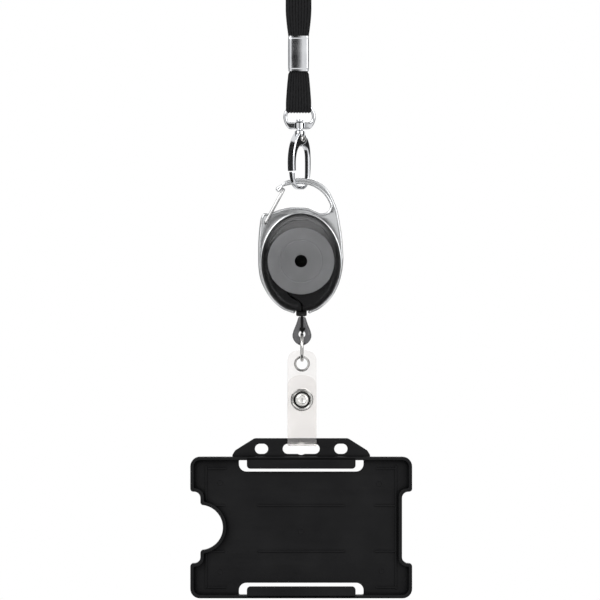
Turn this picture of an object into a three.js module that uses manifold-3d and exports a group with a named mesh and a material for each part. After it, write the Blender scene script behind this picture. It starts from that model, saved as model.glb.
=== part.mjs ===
// Lanyard badge holder: cord lanyard, swivel snap hook, carabiner badge reel, vinyl strap, card holder.
// Millimetres, +X to the wearer's left, -Y to the front, +Z up. The origin is the top of the hanging cord.
import * as THREE from 'three';
import * as BufferGeometryUtils from 'three/addons/utils/BufferGeometryUtils.js';
import Module from 'manifold-3d';

const wasm = await Module();
wasm.setup();

// ---------------------------------------------------------------- driving sizes

const GAP = 0.3; // between pieces that touch
const SNUG = 0.2; // between small metal pieces that touch

const CORD = { width: 10.6, thick: 1.5 };

const HANK = { height: 200, loopRadius: 10, waist: 7.8, tieAt: 152, tailDepth: 11, tailFrom: 2.6 };
const TIE = { height: 6, wall: 1.2 };

const CRIMP = { x: -1.0, below: 18, width: 8.7, height: 14.7, depth: 5.2, wall: 0.6, bevel: 0.5 };

const EYE = { x: -0.6, barBelowCrimp: 14.25, wire: 1.9, soften: 0.4 };
const EYE_SHAPE = { topHalf: 3.7, midHalf: 6.7, footHalf: 4.0, height: 10.4, midAt: 4.7, side: 1.8 };
const EYE_BOSS = { radius: 2.3, height: 2.95 };
const LOOP = { width: 10.3, throat: 6.6 };

const POST = { radius: 0.9, headRadius: 1.65, headHeight: 1.2, intoHook: 1.6, flange: 0.9 };

const HOOK = {
  x: -0.5, turn: 45, halfWidth: 5.5, height: 24.4, thick: 2.4, neckThick: 3.4, neckHalf: 2.3,
  side: 1.65, foot: 1.6, squareness: 2.6, rivetBelow: 3.5, bossRadius: 2.2, bossThick: 1.7,
  tipBelow: 17.1, eyeTopBelow: 6.6,
};
const HOOK_GATE = { cheek: 0.7, wall: 0.8, eyeRadius: 2.4, tipGap: 0.65, swingRoom: 0.9 };
const RIVET = { radius: 0.8, headRadius: 1.3, head: 0.5 };
const LEAF = { thick: 0.35, width: 1.6, length: 4.5 };

const FRAME = { x: 0, thick: 2.8, soften: 0.5, rim: 1.3, recess: 0.5, barHeight: 2.5, archSag: 0.45, footGap: 6 };
const WIRE = { radius: 0.6, pivotX: -14.6, pivotZ: 15.6, tipX: -7.1, tipZ: 29.5, bend: 1.3 };

const CASE = {
  halfWidth: 16.15, halfHeight: 20.1, depth: 11, wall: 1.2, lip: 0.5, edge: 2.6, flatShare: 0.8,
};
const DRUM = { radius: 13.65, coreRadius: 7.6, flange: 0.8, width: 1.9, front: 4.1 };
const AXLE = { radius: 2.3, headRadius: 3.0, head: 0.6 };
const SPRING = { thick: 0.35, width: 3.0, turns: 5, inner: 3.6, outer: 12.6 };

const LINE = { radius: 0.4, depth: 1.1, woundRadius: 12.3 };
const GUIDE = { width: 4.4, height: 2.4, depth: 4.4, bore: 0.75 };
const DROP = { x: 0.4, topHalf: 1.75, half: 3.95, height: 11.8, widestUp: 4.2, thick: 3, hole: 1.4, holeUp: 4.7 };
const KNOT = { radius: 0.6, above: 2.2 };

const RING = { radius: 5.3, wire: 0.7 };

const STRAP = {
  width: 11.9, thick: 0.55, hole: 2.35, holeBelow: 5.55, topCorner: 4.2, flapLength: 27.1, snapUp: 17,
  legOffset: 1.4,
};
const EYELET = { outer: 3.25, thick: 1.9, wall: 0.35 };
const SNAP = { outer: 4.7, cap: 0.9, socket: 4.1, stud: 1.6, hole: 1.9, cavity: 2.05, base: 0.4 };

const HOLDER = {
  x: 0.1, width: 91, height: 58.05, corner: 4, plate: 1.4, plateBack: 1.3, depth: 4.4, rim: 1.4,
};
const TAB = { height: 7.56, baseHalf: 28.5, shoulderHalf: 25.6, shoulderUp: 4.7, topHalf: 18.1, thick: 1.8 };
const SLOT = { width: 15.2, height: 4.15, bulge: 2.5, barHeight: 2.3 };
const TAB_HOLE = { width: 5.4, height: 4.15, at: 16.3 };
const WINDOW = { half: 25.6, top: 1.44, height: 4.72, corner: 1.1 };
const LIP = { half: 22.3, reach: 4.9, thick: 1.2, corner: 1.4, inset: 0.05 };
const THUMB = { radius: 9.2, at: 41.5, sideCut: 3.9, sideHalf: 14.8, corner: 3.6 };
const GRIP = { sideCut: 4.1, sideHalf: 14.7, corner: 3.6 };
const RIB = { width: 0.7, height: 0.25, half: 18, upper: 8.9, lower: 10, stepAt: 39.2 };

// ---------------------------------------------------------------- heights down the chain

const crimpTop = -(HANK.height + CRIMP.below);
const crimpFoot = crimpTop - CRIMP.height;
const eyeBarZ = crimpFoot - EYE.barBelowCrimp;
const eyeTop = eyeBarZ + EYE.wire / 2;
const eyeFoot = eyeTop - EYE_SHAPE.height;
const hookTop = eyeFoot - 2 * SNUG;
const hookFoot = hookTop - HOOK.height;
const frameBarFoot = hookFoot + HOOK.foot + GAP + FRAME.archSag;
const frameBarZ = frameBarFoot + FRAME.barHeight / 2;
const frameTop = frameBarFoot + FRAME.barHeight;
const caseZ = frameTop - 34.2;
const caseFoot = caseZ - CASE.halfHeight;
const guideTop = caseFoot - SNUG;
const dropTop = guideTop - GUIDE.height - SNUG;
const dropHoleZ = dropTop - DROP.height + DROP.holeUp;
const ringZ = dropHoleZ - 0.15 - RING.radius;
const eyeletZ = ringZ - RING.radius + RING.wire + GAP - STRAP.hole;
const strapTop = eyeletZ + STRAP.holeBelow;
const snapZ = eyeletZ - 14.75;
const flapTop = snapZ + STRAP.flapLength - STRAP.snapUp;
const tabBarZ = snapZ - STRAP.snapUp;
const tabTop = tabBarZ + SLOT.barHeight / 2;
const holderZ = tabTop - TAB.height - HOLDER.height / 2;

// ---------------------------------------------------------------- shaping helpers

function v2(x, y) {
  return new THREE.Vector2(x, y);
}

function v3(x, y, z) {
  return new THREE.Vector3(x, y, z);
}

// Merges shared vertices, drops slivers of no area and turns the faces outward.
function closed(geometry) {
  if (geometry.userData.closed) return geometry;
  const bare = geometry.clone();
  bare.deleteAttribute('normal');
  bare.deleteAttribute('uv');
  const merged = BufferGeometryUtils.mergeVertices(bare, 1e-4);
  const at = merged.getAttribute('position');
  const index = merged.index.array;
  const kept = [];
  let volume = 0;
  for (let i = 0; i < index.length; i += 3) {
    const [a, b, c] = [index[i], index[i + 1], index[i + 2]];
    if (a === b || b === c || c === a) continue;
    kept.push(a, b, c);
    const p = v3().fromBufferAttribute(at, a);
    const q = v3().fromBufferAttribute(at, b);
    const r = v3().fromBufferAttribute(at, c);
    volume += p.dot(q.cross(r));
  }
  if (volume < 0) kept.reverse();
  merged.setIndex(kept);
  return merged;
}

function toSolid(geometry) {
  const shell = closed(geometry);
  return new wasm.Manifold(new wasm.Mesh({
    numProp: 3,
    vertProperties: new Float32Array(shell.getAttribute('position').array),
    triVerts: new Uint32Array(shell.index.array),
  }));
}

function toGeometry(body) {
  const mesh = body.getMesh();
  const geometry = new THREE.BufferGeometry();
  geometry.setAttribute('position', new THREE.BufferAttribute(new Float32Array(mesh.vertProperties), 3));
  geometry.setIndex(Array.from(mesh.triVerts));
  geometry.userData.closed = true;
  return geometry;
}

function join(...geometries) {
  return toGeometry(geometries.slice(1).reduce((sum, g) => sum.add(toSolid(g)), toSolid(geometries[0])));
}

function cut(base, ...tools) {
  return toGeometry(tools.reduce((rest, g) => rest.subtract(toSolid(g)), toSolid(base)));
}

function common(a, b) {
  return toGeometry(toSolid(a).intersect(toSolid(b)));
}

function extrude(shape, depth, soften = 0, curveSegments = 10) {
  const geometry = new THREE.ExtrudeGeometry(shape, {
    depth: depth - 2 * soften,
    bevelEnabled: soften > 0,
    bevelThickness: soften,
    bevelSize: soften,
    bevelOffset: -soften,
    bevelSegments: 1,
    curveSegments,
  });
  return geometry.translate(0, 0, soften);
}

// A shape drawn in X and Z, extruded along Y between two depths.
function slabY(shape, yLow, yHigh, soften = 0, curveSegments = 10) {
  return extrude(shape, yHigh - yLow, soften, curveSegments).rotateX(Math.PI / 2).translate(0, yHigh, 0);
}

// A shape drawn in Y and Z, extruded along X between two sides.
function slabX(shape, xLow, xHigh, soften = 0) {
  const turn = new THREE.Matrix4().makeBasis(v3(0, 1, 0), v3(0, 0, 1), v3(1, 0, 0));
  return extrude(shape, xHigh - xLow, soften).applyMatrix4(turn).translate(xLow, 0, 0);
}

// A shape drawn in X and Y, extruded up between two heights.
function slabZ(shape, zLow, zHigh, soften = 0) {
  return extrude(shape, zHigh - zLow, soften, 3).translate(0, 0, zLow);
}

function polygon(points) {
  return new THREE.Shape(points.map(([x, y]) => v2(x, y)));
}

function roundedRect(width, height, radius, x = 0, y = 0) {
  const [w, h] = [width / 2, height / 2];
  const r = Math.min(radius, w - 0.01, h - 0.01);
  const shape = new THREE.Shape();
  shape.moveTo(x - w + r, y - h);
  shape.lineTo(x + w - r, y - h);
  shape.absarc(x + w - r, y - h + r, r, -Math.PI / 2, 0, false);
  shape.lineTo(x + w, y + h - r);
  shape.absarc(x + w - r, y + h - r, r, 0, Math.PI / 2, false);
  shape.lineTo(x - w + r, y + h);
  shape.absarc(x - w + r, y + h - r, r, Math.PI / 2, Math.PI, false);
  shape.lineTo(x - w, y - h + r);
  shape.absarc(x - w + r, y - h + r, r, Math.PI, 1.5 * Math.PI, false);
  return shape;
}

function disc(radius, x = 0, y = 0, segments = 24) {
  return polygon(Array.from({ length: segments }, (_, i) => {
    const angle = (2 * Math.PI * i) / segments;
    return [x + radius * Math.cos(angle), y + radius * Math.sin(angle)];
  }));
}

function mirrored(rightSide) {
  const leftSide = rightSide.slice().reverse().map(([x, y]) => [-x, y]);
  return [...rightSide, ...leftSide];
}

// A band of even thickness along a line of points, with square ends.
function band(line, thick) {
  const sides = [[], []];
  line.forEach(([x, y], i) => {
    const before = line[Math.max(i - 1, 0)];
    const after = line[Math.min(i + 1, line.length - 1)];
    const along = v2(after[0] - before[0], after[1] - before[1]).normalize();
    sides[0].push([x - (along.y * thick) / 2, y + (along.x * thick) / 2]);
    sides[1].push([x + (along.y * thick) / 2, y - (along.x * thick) / 2]);
  });
  return polygon([...sides[0], ...sides[1].reverse()]);
}

function arc(x, y, radius, from, to, steps) {
  return Array.from({ length: steps + 1 }, (_, i) => {
    const angle = THREE.MathUtils.degToRad(from + ((to - from) * i) / steps);
    return [x + radius * Math.cos(angle), y + radius * Math.sin(angle)];
  });
}

// A turned piece about an upright axis; the profile runs radius, height from axis to axis.
function turnedZ(profile, segments = 24) {
  return new THREE.LatheGeometry(profile.map(([r, h]) => v2(r, h)), segments).rotateX(Math.PI / 2);
}

// A turned piece about a front-to-back axis; the profile runs radius, depth.
function turnedY(profile, segments = 24) {
  return new THREE.LatheGeometry(profile.map(([r, y]) => v2(r, y)), segments);
}

function rodY(radius, yLow, yHigh, x, z, segments = 20) {
  return turnedY([[0, yLow], [radius, yLow], [radius, yHigh], [0, yHigh]], segments).translate(x, 0, z);
}

function rodZ(radius, zLow, zHigh, x, y, segments = 16) {
  return turnedZ([[0, zLow], [radius, zLow], [radius, zHigh], [0, zHigh]], segments).translate(x, y, 0);
}

function tube(points, radius, steps, sides = 8) {
  const path = new THREE.CatmullRomCurve3(points.map(([x, y, z]) => v3(x, y, z)), false, 'catmullrom', 0.3);
  return new THREE.ExtrudeGeometry(disc(radius, 0, 0, sides), { steps, extrudePath: path, bevelEnabled: false });
}

const group = new THREE.Group();
group.name = 'lanyard_badge_holder';

function add(parent, name, geometry, colour, roughness, metalness) {
  const shell = closed(geometry);
  shell.computeVertexNormals();
  const material = new THREE.MeshStandardMaterial({ color: colour, roughness, metalness });
  const mesh = new THREE.Mesh(shell, material);
  mesh.name = name;
  parent.add(mesh);
  return mesh;
}

function assembly(x, z) {
  const part = new THREE.Group();
  part.position.set(x, 0, z);
  group.add(part);
  return part;
}

const BLACK_CORD = [0x151517, 0.9, 0];
const CHROME = [0xc9ccd0, 0.12, 1];
const SATIN = [0xc4c6c9, 0.32, 1];
const SMOKE = [0x4a4b4e, 0.15, 0];
const GREY_PLASTIC = [0x8d8f92, 0.4, 0];
const BLACK_PLASTIC = [0x141415, 0.45, 0];
const VINYL = [0xe9e7e3, 0.25, 0];
const NICKEL = [0xb9bbbe, 0.25, 1];
const STEEL = [0x7f848a, 0.35, 1];

// ---------------------------------------------------------------- cord lanyard

// The neck loop is gathered: two runs over the top, tied at the waist, its end bight hanging behind.
function buildLanyard() {
  const part = assembly(CRIMP.x, 0);
  const [top, half] = [HANK.loopRadius, HANK.waist / 2];
  const tieZ = -HANK.tieAt;
  const belowTie = tieZ - TIE.height;
  const aboveTie = tieZ + TIE.height / 2 + 1;
  const front = [...arc(0, -top, top, 90, 180, 8), [-top * 0.8, -top * 5], [-half, aboveTie], [-half, belowTie]];
  const tail = [
    [HANK.tailFrom, belowTie],
    [HANK.tailFrom, -HANK.height + 6],
    ...arc(HANK.tailFrom + HANK.tailDepth / 2, -HANK.height + 6, HANK.tailDepth / 2, 200, 340, 6),
    [HANK.tailFrom + HANK.tailDepth * 0.8, -HANK.height + 22],
    [half, tieZ - TIE.height / 2 - 1],
    [half, aboveTie],
    [top * 0.8, -top * 5],
  ];
  const back = arc(0, -top, top, 0, 90, 8).slice(0, -1);
  const outline = polygon([...front, ...tail, ...back]);
  add(part, 'lanyard_hank', slabX(outline, -CORD.width / 2, CORD.width / 2), ...BLACK_CORD);

  const inside = roundedRect(CORD.width + 2 * GAP, HANK.waist + 2 * GAP, 1);
  const ring = roundedRect(CORD.width + 2 * GAP + 2 * TIE.wall, HANK.waist + 2 * GAP + 2 * TIE.wall, 2);
  ring.holes.push(inside);
  add(part, 'hank_tie', slabZ(ring, tieZ - TIE.height / 2, tieZ + TIE.height / 2), ...BLACK_CORD);

  const innerHalf = CRIMP.width / 2 - CRIMP.wall - SNUG;
  const strandY = CORD.thick / 2 + GAP / 2;
  const midCrimp = crimpTop - CRIMP.height / 2;
  const pinch = polygon(mirrored([
    [innerHalf, midCrimp + GAP / 2],
    [innerHalf, crimpTop - 0.2],
    [CRIMP.width / 2, crimpTop + 2],
    [CORD.width / 2, crimpTop + 8],
    [CORD.width / 2, belowTie - GAP],
  ]));
  const strands = [
    { name: 'lanyard_strand_front', y: -strandY, topY: -2 * strandY - 1 },
    { name: 'lanyard_strand_back', y: strandY, topY: -1 + GAP / 2 },
  ];
  for (const strand of strands) {
    const line = [
      [strand.y, midCrimp + GAP / 2],
      [strand.y, crimpTop + 4],
      [strand.topY, belowTie - GAP],
    ];
    const flat = slabX(band(line, CORD.thick), -CORD.width / 2, CORD.width / 2);
    add(part, strand.name, common(flat, slabY(pinch, -6, 6)), ...BLACK_CORD);
  }

  const sleeve = roundedRect(CRIMP.width, CRIMP.depth, 1.2);
  sleeve.holes.push(roundedRect(CRIMP.width - 2 * CRIMP.wall, CRIMP.depth - 2 * CRIMP.wall, 0.4));
  const crimp = extrude(sleeve, CRIMP.height, 0, 4).translate(0, 0, crimpFoot);
  const bevelled = slabX(
    polygon(mirrored([
      [CRIMP.depth / 2 - CRIMP.bevel, crimpFoot],
      [CRIMP.depth / 2, crimpFoot + 1.2],
      [CRIMP.depth / 2, crimpTop - 1.2],
      [CRIMP.depth / 2 - CRIMP.bevel, crimpTop],
    ])),
    -CRIMP.width,
    CRIMP.width,
  );
  add(part, 'crimp_ferrule', common(crimp, bevelled), ...CHROME);

  const around = EYE.wire / 2 + GAP + CORD.thick / 2;
  const legs = [[strandY, midCrimp - GAP / 2], [strandY, crimpFoot - 3], [around, eyeBarZ + 2.5]];
  const bight = arc(0, eyeBarZ, around, 0, -180, 12);
  const line = [...legs, ...bight, ...legs.slice().reverse().map(([y, z]) => [-y, z])];
  const front2 = polygon(mirrored([
    [LOOP.throat / 2 - 0.4, eyeBarZ - 4],
    [LOOP.throat / 2, eyeBarZ - 0.4],
    [LOOP.width / 2, eyeBarZ + 1.4],
    [LOOP.width / 2, crimpFoot - 5],
    [CRIMP.width / 2, crimpFoot - 1.2],
    [innerHalf, crimpFoot + 0.2],
    [innerHalf, midCrimp - GAP / 2],
  ]));
  const loop = slabX(band(line, CORD.thick), -LOOP.width / 2, LOOP.width / 2);
  add(part, 'lanyard_eye_loop', common(loop, slabY(front2, -6, 6)), ...BLACK_CORD);
}

// ---------------------------------------------------------------- swivel eye and snap hook

function buildEye() {
  const part = assembly(EYE.x, eyeTop);
  const s = EYE_SHAPE;
  const outer = mirrored([
    [s.footHalf, -s.height],
    [s.footHalf + 0.8, -s.height + 0.5],
    [s.midHalf - 0.9, -s.height + 1.8],
    [s.midHalf - 0.2, -s.midAt - 2.3],
    [s.midHalf, -s.midAt - 1],
    [s.midHalf - 0.2, -s.midAt + 0.2],
    [s.midHalf - 0.7, -s.midAt + 1.5],
    [s.topHalf + 1.5, -1.45],
    [s.topHalf + 0.9, -0.45],
    [s.topHalf, 0],
  ]);
  const inner = mirrored([
    [s.footHalf, -s.height + EYE_BOSS.height],
    [s.midHalf - s.side - 0.4, -s.height + EYE_BOSS.height + 0.4],
    [s.midHalf - s.side, -s.midAt - 1.3],
    [s.midHalf - s.side + 0.05, -s.midAt - 0.4],
    [s.midHalf - s.side - 0.2, -s.midAt + 0.8],
    [s.topHalf + 0.5, -EYE.wire - 0.65],
    [s.topHalf, -EYE.wire],
  ]);
  const shape = polygon(outer);
  shape.holes.push(polygon(inner));
  const ring = slabY(shape, -EYE.wire / 2, EYE.wire / 2, EYE.soften);
  const boss = rodZ(EYE_BOSS.radius, -s.height, -s.height + EYE_BOSS.height, 0, 0, 20);
  const bore = rodZ(POST.radius + SNUG, -s.height - 1, -s.height + EYE_BOSS.height + 1, 0, 0);
  add(part, 'swivel_eye', cut(join(ring, boss), bore), ...CHROME);
}

function superellipse(halfWidth, halfHeight, power, steps) {
  return Array.from({ length: steps }, (_, i) => {
    const angle = (2 * Math.PI * i) / steps;
    const [c, s] = [Math.cos(angle), Math.sin(angle)];
    const x = halfWidth * Math.sign(c) * Math.abs(c) ** (2 / power);
    return [x, halfHeight * Math.sign(s) * Math.abs(s) ** (2 / power)];
  });
}

// The hook is drawn facing the front and turned on its swivel as it hangs.
function buildHook() {
  const part = assembly(HOOK.x, hookTop);
  part.rotation.z = THREE.MathUtils.degToRad(HOOK.turn);
  const half = HOOK.thick / 2;
  const ovalTop = 1.6;
  const ovalHalf = (HOOK.height - ovalTop) / 2;
  const ovalZ = -ovalTop - ovalHalf;
  const eyeFoot = -HOOK.height + HOOK.foot;
  const eyeHalf = (-HOOK.eyeTopBelow - eyeFoot) / 2;
  const eyeZ = -HOOK.eyeTopBelow - eyeHalf;
  const place = (points, z) => points.map(([x, y]) => [x, y + z]);
  const outline = place(superellipse(HOOK.halfWidth, ovalHalf, HOOK.squareness, 44), ovalZ);
  const eye = place(superellipse(HOOK.halfWidth - HOOK.side, eyeHalf, HOOK.squareness + 1.5, 40), eyeZ);

  const oval = polygon(outline);
  oval.holes.push(polygon(eye));
  const ring = slabY(oval, -half, half, 0.35);
  const gateSide = [HOOK.halfWidth + 1, HOOK.tipBelow];
  const gateBox = polygon([[-gateSide[0], -gateSide[1]], [0, -gateSide[1]], [0, 1], [-gateSide[0], 1]]);
  const cap = polygon([[-8, 1], [-8, -HOOK.rivetBelow], [8, -HOOK.rivetBelow - 1], [8, 1]]);
  const neck = turnedZ([
    [0, -HOOK.rivetBelow],
    [HOOK.neckHalf - 0.4, -HOOK.rivetBelow],
    [HOOK.neckHalf, -1.2],
    [HOOK.neckHalf - 0.4, 0],
    [0, 0],
  ], 20);
  const shoulder = slabY(
    polygon([
      [-0.4, -1],
      [HOOK.neckHalf, -1],
      [HOOK.halfWidth - 1.5, -4.6],
      [HOOK.halfWidth - 0.6, -7.5],
      [HOOK.halfWidth - HOOK.side, -9.5],
      [HOOK.bossRadius, -HOOK.eyeTopBelow],
      [-0.4, -HOOK.eyeTopBelow + 0.9],
    ]),
    -half,
    half,
    0.3,
  );
  const rivetZ = -HOOK.rivetBelow;
  const cheekRoom = HOOK.bossThick / 2;
  const clear = HOOK_GATE.eyeRadius + GAP;
  const besideFront = rodY(clear, -4, -cheekRoom, 0, rivetZ);
  const besideBack = rodY(clear, cheekRoom, 4, 0, rivetZ);
  const boss = rodY(HOOK.bossRadius, -cheekRoom, cheekRoom, 0, rivetZ);
  const postBore = rodZ(POST.radius + SNUG, -POST.intoHook, 1, 0, 0);
  const rivetBore = rodY(RIVET.radius + SNUG, -4, 4, 0, rivetZ);
  const arm = cut(ring, slabY(gateBox, -4, 4), slabY(cap, -4, 4));
  const besideGate = roundedRect(10, 3.4, 0.5, HOOK_GATE.swingRoom - 5, rivetZ - 2.4);
  const headRoom = slabY(besideGate, -4, -cheekRoom);
  const headRoomBack = slabY(besideGate, cheekRoom, 4);
  const body = cut(
    join(arm, neck, shoulder, boss),
    besideFront, besideBack, headRoom, headRoomBack, postBore, rivetBore,
  );
  add(part, 'hook_body', body, ...CHROME);

  const headZ = eyeFootHead();
  const post = turnedZ([
    [0, -POST.intoHook + SNUG],
    [POST.radius, -POST.intoHook + SNUG],
    [POST.radius, headZ],
    [POST.headRadius, headZ],
    [POST.headRadius, headZ + POST.headHeight - 0.3],
    [POST.headRadius - 0.4, headZ + POST.headHeight],
    [0, headZ + POST.headHeight],
  ], 18);
  add(part, 'swivel_post', post, ...CHROME);

  const gateHalf = cheekRoom + GAP + HOOK_GATE.cheek;
  const gateTip = -HOOK.tipBelow + HOOK_GATE.tipGap;
  const crescent = polygon([[-8, gateTip], [0, gateTip], [0, rivetZ + 2], [-8, rivetZ + 2]]);
  const gateOval = common(slabY(oval, -gateHalf, gateHalf, 0.3), slabY(crescent, -4, 4));
  const gateEye = slabY(disc(HOOK_GATE.eyeRadius, 0, rivetZ, 24), -gateHalf, gateHalf, 0.3);
  const arms = polygon([
    [-1.6, rivetZ + 1.7],
    [0.6, rivetZ - 2.2],
    [-2.4, -8.6],
    [-HOOK.halfWidth + HOOK.side, -10.5],
    [-HOOK.halfWidth + 0.35, -8.6],
    [-HOOK.halfWidth + 1, -5.9],
  ]);
  const gateWeb = slabY(arms, -gateHalf, gateHalf);
  const upper = polygon([[-12, 1], [12, 1], [12, -9.5], [-12, -9.5]]);
  const channel = slabY(
    polygon([
      [-HOOK.halfWidth + 1.5, -9.6],
      [-HOOK.halfWidth + 2.1, -6.6],
      [-2.4, rivetZ],
      [-2.2, rivetZ + 6],
      [8, rivetZ + 6],
      [8, -15.2],
      [-HOOK.halfWidth + 0.8, -15.2],
      [-HOOK.halfWidth + HOOK_GATE.wall, -12],
    ]),
    -cheekRoom - GAP,
    cheekRoom + GAP,
  );
  const swing = rodY(HOOK.bossRadius + 0.35, -cheekRoom - GAP, cheekRoom + GAP, 0, rivetZ, 28);
  const gate = cut(join(gateOval, gateEye, common(gateWeb, slabY(upper, -4, 4))), channel, swing, rivetBore);
  add(part, 'hook_gate', gate, ...CHROME);

  const rivet = turnedY([
    [0, -gateHalf - SNUG - RIVET.head],
    [RIVET.headRadius - 0.3, -gateHalf - SNUG - RIVET.head],
    [RIVET.headRadius, -gateHalf - SNUG],
    [RIVET.radius, -gateHalf - SNUG],
    [RIVET.radius, gateHalf + SNUG],
    [RIVET.headRadius, gateHalf + SNUG],
    [RIVET.headRadius - 0.3, gateHalf + SNUG + RIVET.head],
    [0, gateHalf + SNUG + RIVET.head],
  ], 18).translate(0, 0, rivetZ);
  add(part, 'gate_rivet', rivet, ...NICKEL);

  const leafTop = rivetZ - HOOK.bossRadius - 0.9;
  const leaf = band([
    [-1.2, leafTop],
    [-2.3, leafTop - LEAF.length * 0.35],
    [-3.1, leafTop - LEAF.length * 0.7],
    [-3.4, leafTop - LEAF.length],
  ], LEAF.thick);
  add(part, 'gate_spring', slabY(leaf, -LEAF.width / 2, LEAF.width / 2), ...STEEL);
}

// Height of the underside of the post's head above the hook's top.
function eyeFootHead() {
  return eyeFoot + EYE_BOSS.height + SNUG - hookTop;
}

// ---------------------------------------------------------------- carabiner frame and its wire gate

const FRAME_OUTER = [
  [-9.9, 29.0], [-7.35, 32.3], [-4.5, 33.5], [-0.4, 34.2], [3.7, 33.7], [6.6, 32.8], [9.5, 31.1], [12, 28],
  [13.6, 24.5], [15, 20.8], [16.1, 15.1], [16.9, 9.7], [17.4, 2.3], [17.35, -0.1], [16.9, -4.2], [15.7, -8.8],
  [13.6, -13.3], [10.7, -16.9], [7.1, -19.9], [3.2, -21.4],
];
const FRAME_LEFT = [
  [-2.8, -21.4], [-7.2, -19.9], [-11.05, -16.9], [-13.9, -13.3], [-16.4, -8.3], [-17.4, -3.4], [-17.6, 2.3],
  [-17.5, 8.9], [-17, 14.7], [-16.4, 18], [-15.3, 19.6], [-13.5, 19.4],
];
const FRAME_EYE = [
  [-10.8, 20.4], [-8.2, 21.3], [-4.5, 22.1], [-0.4, 22.1], [2.9, 21.8], [5.4, 20.8], [7.8, 19.8], [9.9, 19.9],
  [11.3, 20.8], [12, 22.5], [11.5, 24.1], [9.9, 26.8], [7, 29.5], [3.7, 31.1], [-0.4, 31.7], [-4.5, 31.3],
  [-7.15, 30.7],
];

function caseOval(grow, steps = 56) {
  return superellipse(CASE.halfWidth + grow, CASE.halfHeight + grow, 2, steps);
}

function buildFrame() {
  const part = assembly(FRAME.x, caseZ);
  const half = FRAME.thick / 2;
  const outline = polygon([...FRAME_OUTER, ...FRAME_LEFT, ...FRAME_EYE]);
  const blank = slabY(outline, -half, half, FRAME.soften);
  const seat = slabY(polygon(caseOval(-CASE.lip + GAP)), -4, 4);
  const pivotHole = rodY(WIRE.radius + SNUG, -4, 4, WIRE.pivotX, WIRE.pivotZ, 14);
  const inset = FRAME.recess;
  const webs = [
    [[9.4, 18.6], [11.6, 18.9], [13.4, 20.9], [14.3, 18.6], [15.0, 14.6], [15.3, 11.6], [13.9, 13.9], [11.9, 16.5]],
    [[-8.6, 18.9], [-11.3, 18.3], [-12.5, 17.9], [-12.9, 15.8], [-12.4, 15.7], [-10.6, 17.4]],
  ];
  const pockets = webs.flatMap((web) => [
    slabY(polygon(web), -half - 1, -half + inset),
    slabY(polygon(web), half - inset, half + 1),
  ]);
  const footHalf = FRAME.footGap / 2;
  const footGap = slabY(roundedRect(2 * footHalf, 10, 0.4, DROP.x / 2, -CASE.halfHeight), -4, 4, 0, 2);
  add(part, 'carabiner_frame', cut(blank, seat, footGap, pivotHole, ...pockets), ...SATIN);

  const away = half + GAP + WIRE.radius;
  const [px, pz, tx, tz] = [WIRE.pivotX, WIRE.pivotZ, WIRE.tipX, WIRE.tipZ];
  const along = (share) => [px + (tx - px) * share, pz + (tz - pz) * share];
  const [mx, mz] = along(0.56);
  const [nx, nz] = along(0.9);
  const frontLeg = [
    [px, -0.25, pz],
    [px, -away * 0.75, pz],
    [px + 0.25, -away, pz + 0.6],
    [px + 0.8, -away, pz + 1.6],
    [mx, -away, mz],
    [nx, -WIRE.bend, nz],
  ];
  const backLeg = frontLeg.slice().reverse().map(([x, y, z]) => [x, -y, z]);
  const wire = tube([...frontLeg, [tx, 0, tz], ...backLeg], WIRE.radius, 60, 8);
  add(part, 'frame_wire_gate', wire, ...STEEL);
}

// ---------------------------------------------------------------- reel case and what turns in it

function caseHalf(side) {
  const outerHalf = CASE.halfWidth;
  const joint = GAP / 2;
  const front = CASE.depth / 2;
  const lipAt = FRAME.thick / 2 + GAP;
  const body = outerHalf - CASE.lip;
  const inner = outerHalf - CASE.wall - CASE.lip;
  const flat = outerHalf * CASE.flatShare;
  const profile = [
    [0, front],
    [flat, front],
    [outerHalf - 1.1, front - CASE.edge * 0.32],
    [outerHalf - 0.2, front - CASE.edge * 0.75],
    [outerHalf, front - CASE.edge - 0.2],
    [outerHalf, lipAt],
    [body, lipAt],
    [body, joint],
    [inner, joint],
    [inner, front - CASE.wall - 0.5],
    [inner - 0.5, front - CASE.wall],
    [0, front - CASE.wall],
  ].map(([r, y]) => [r, side * y]);
  return turnedY(profile, 40).scale(1, 1, CASE.halfHeight / CASE.halfWidth);
}

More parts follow.
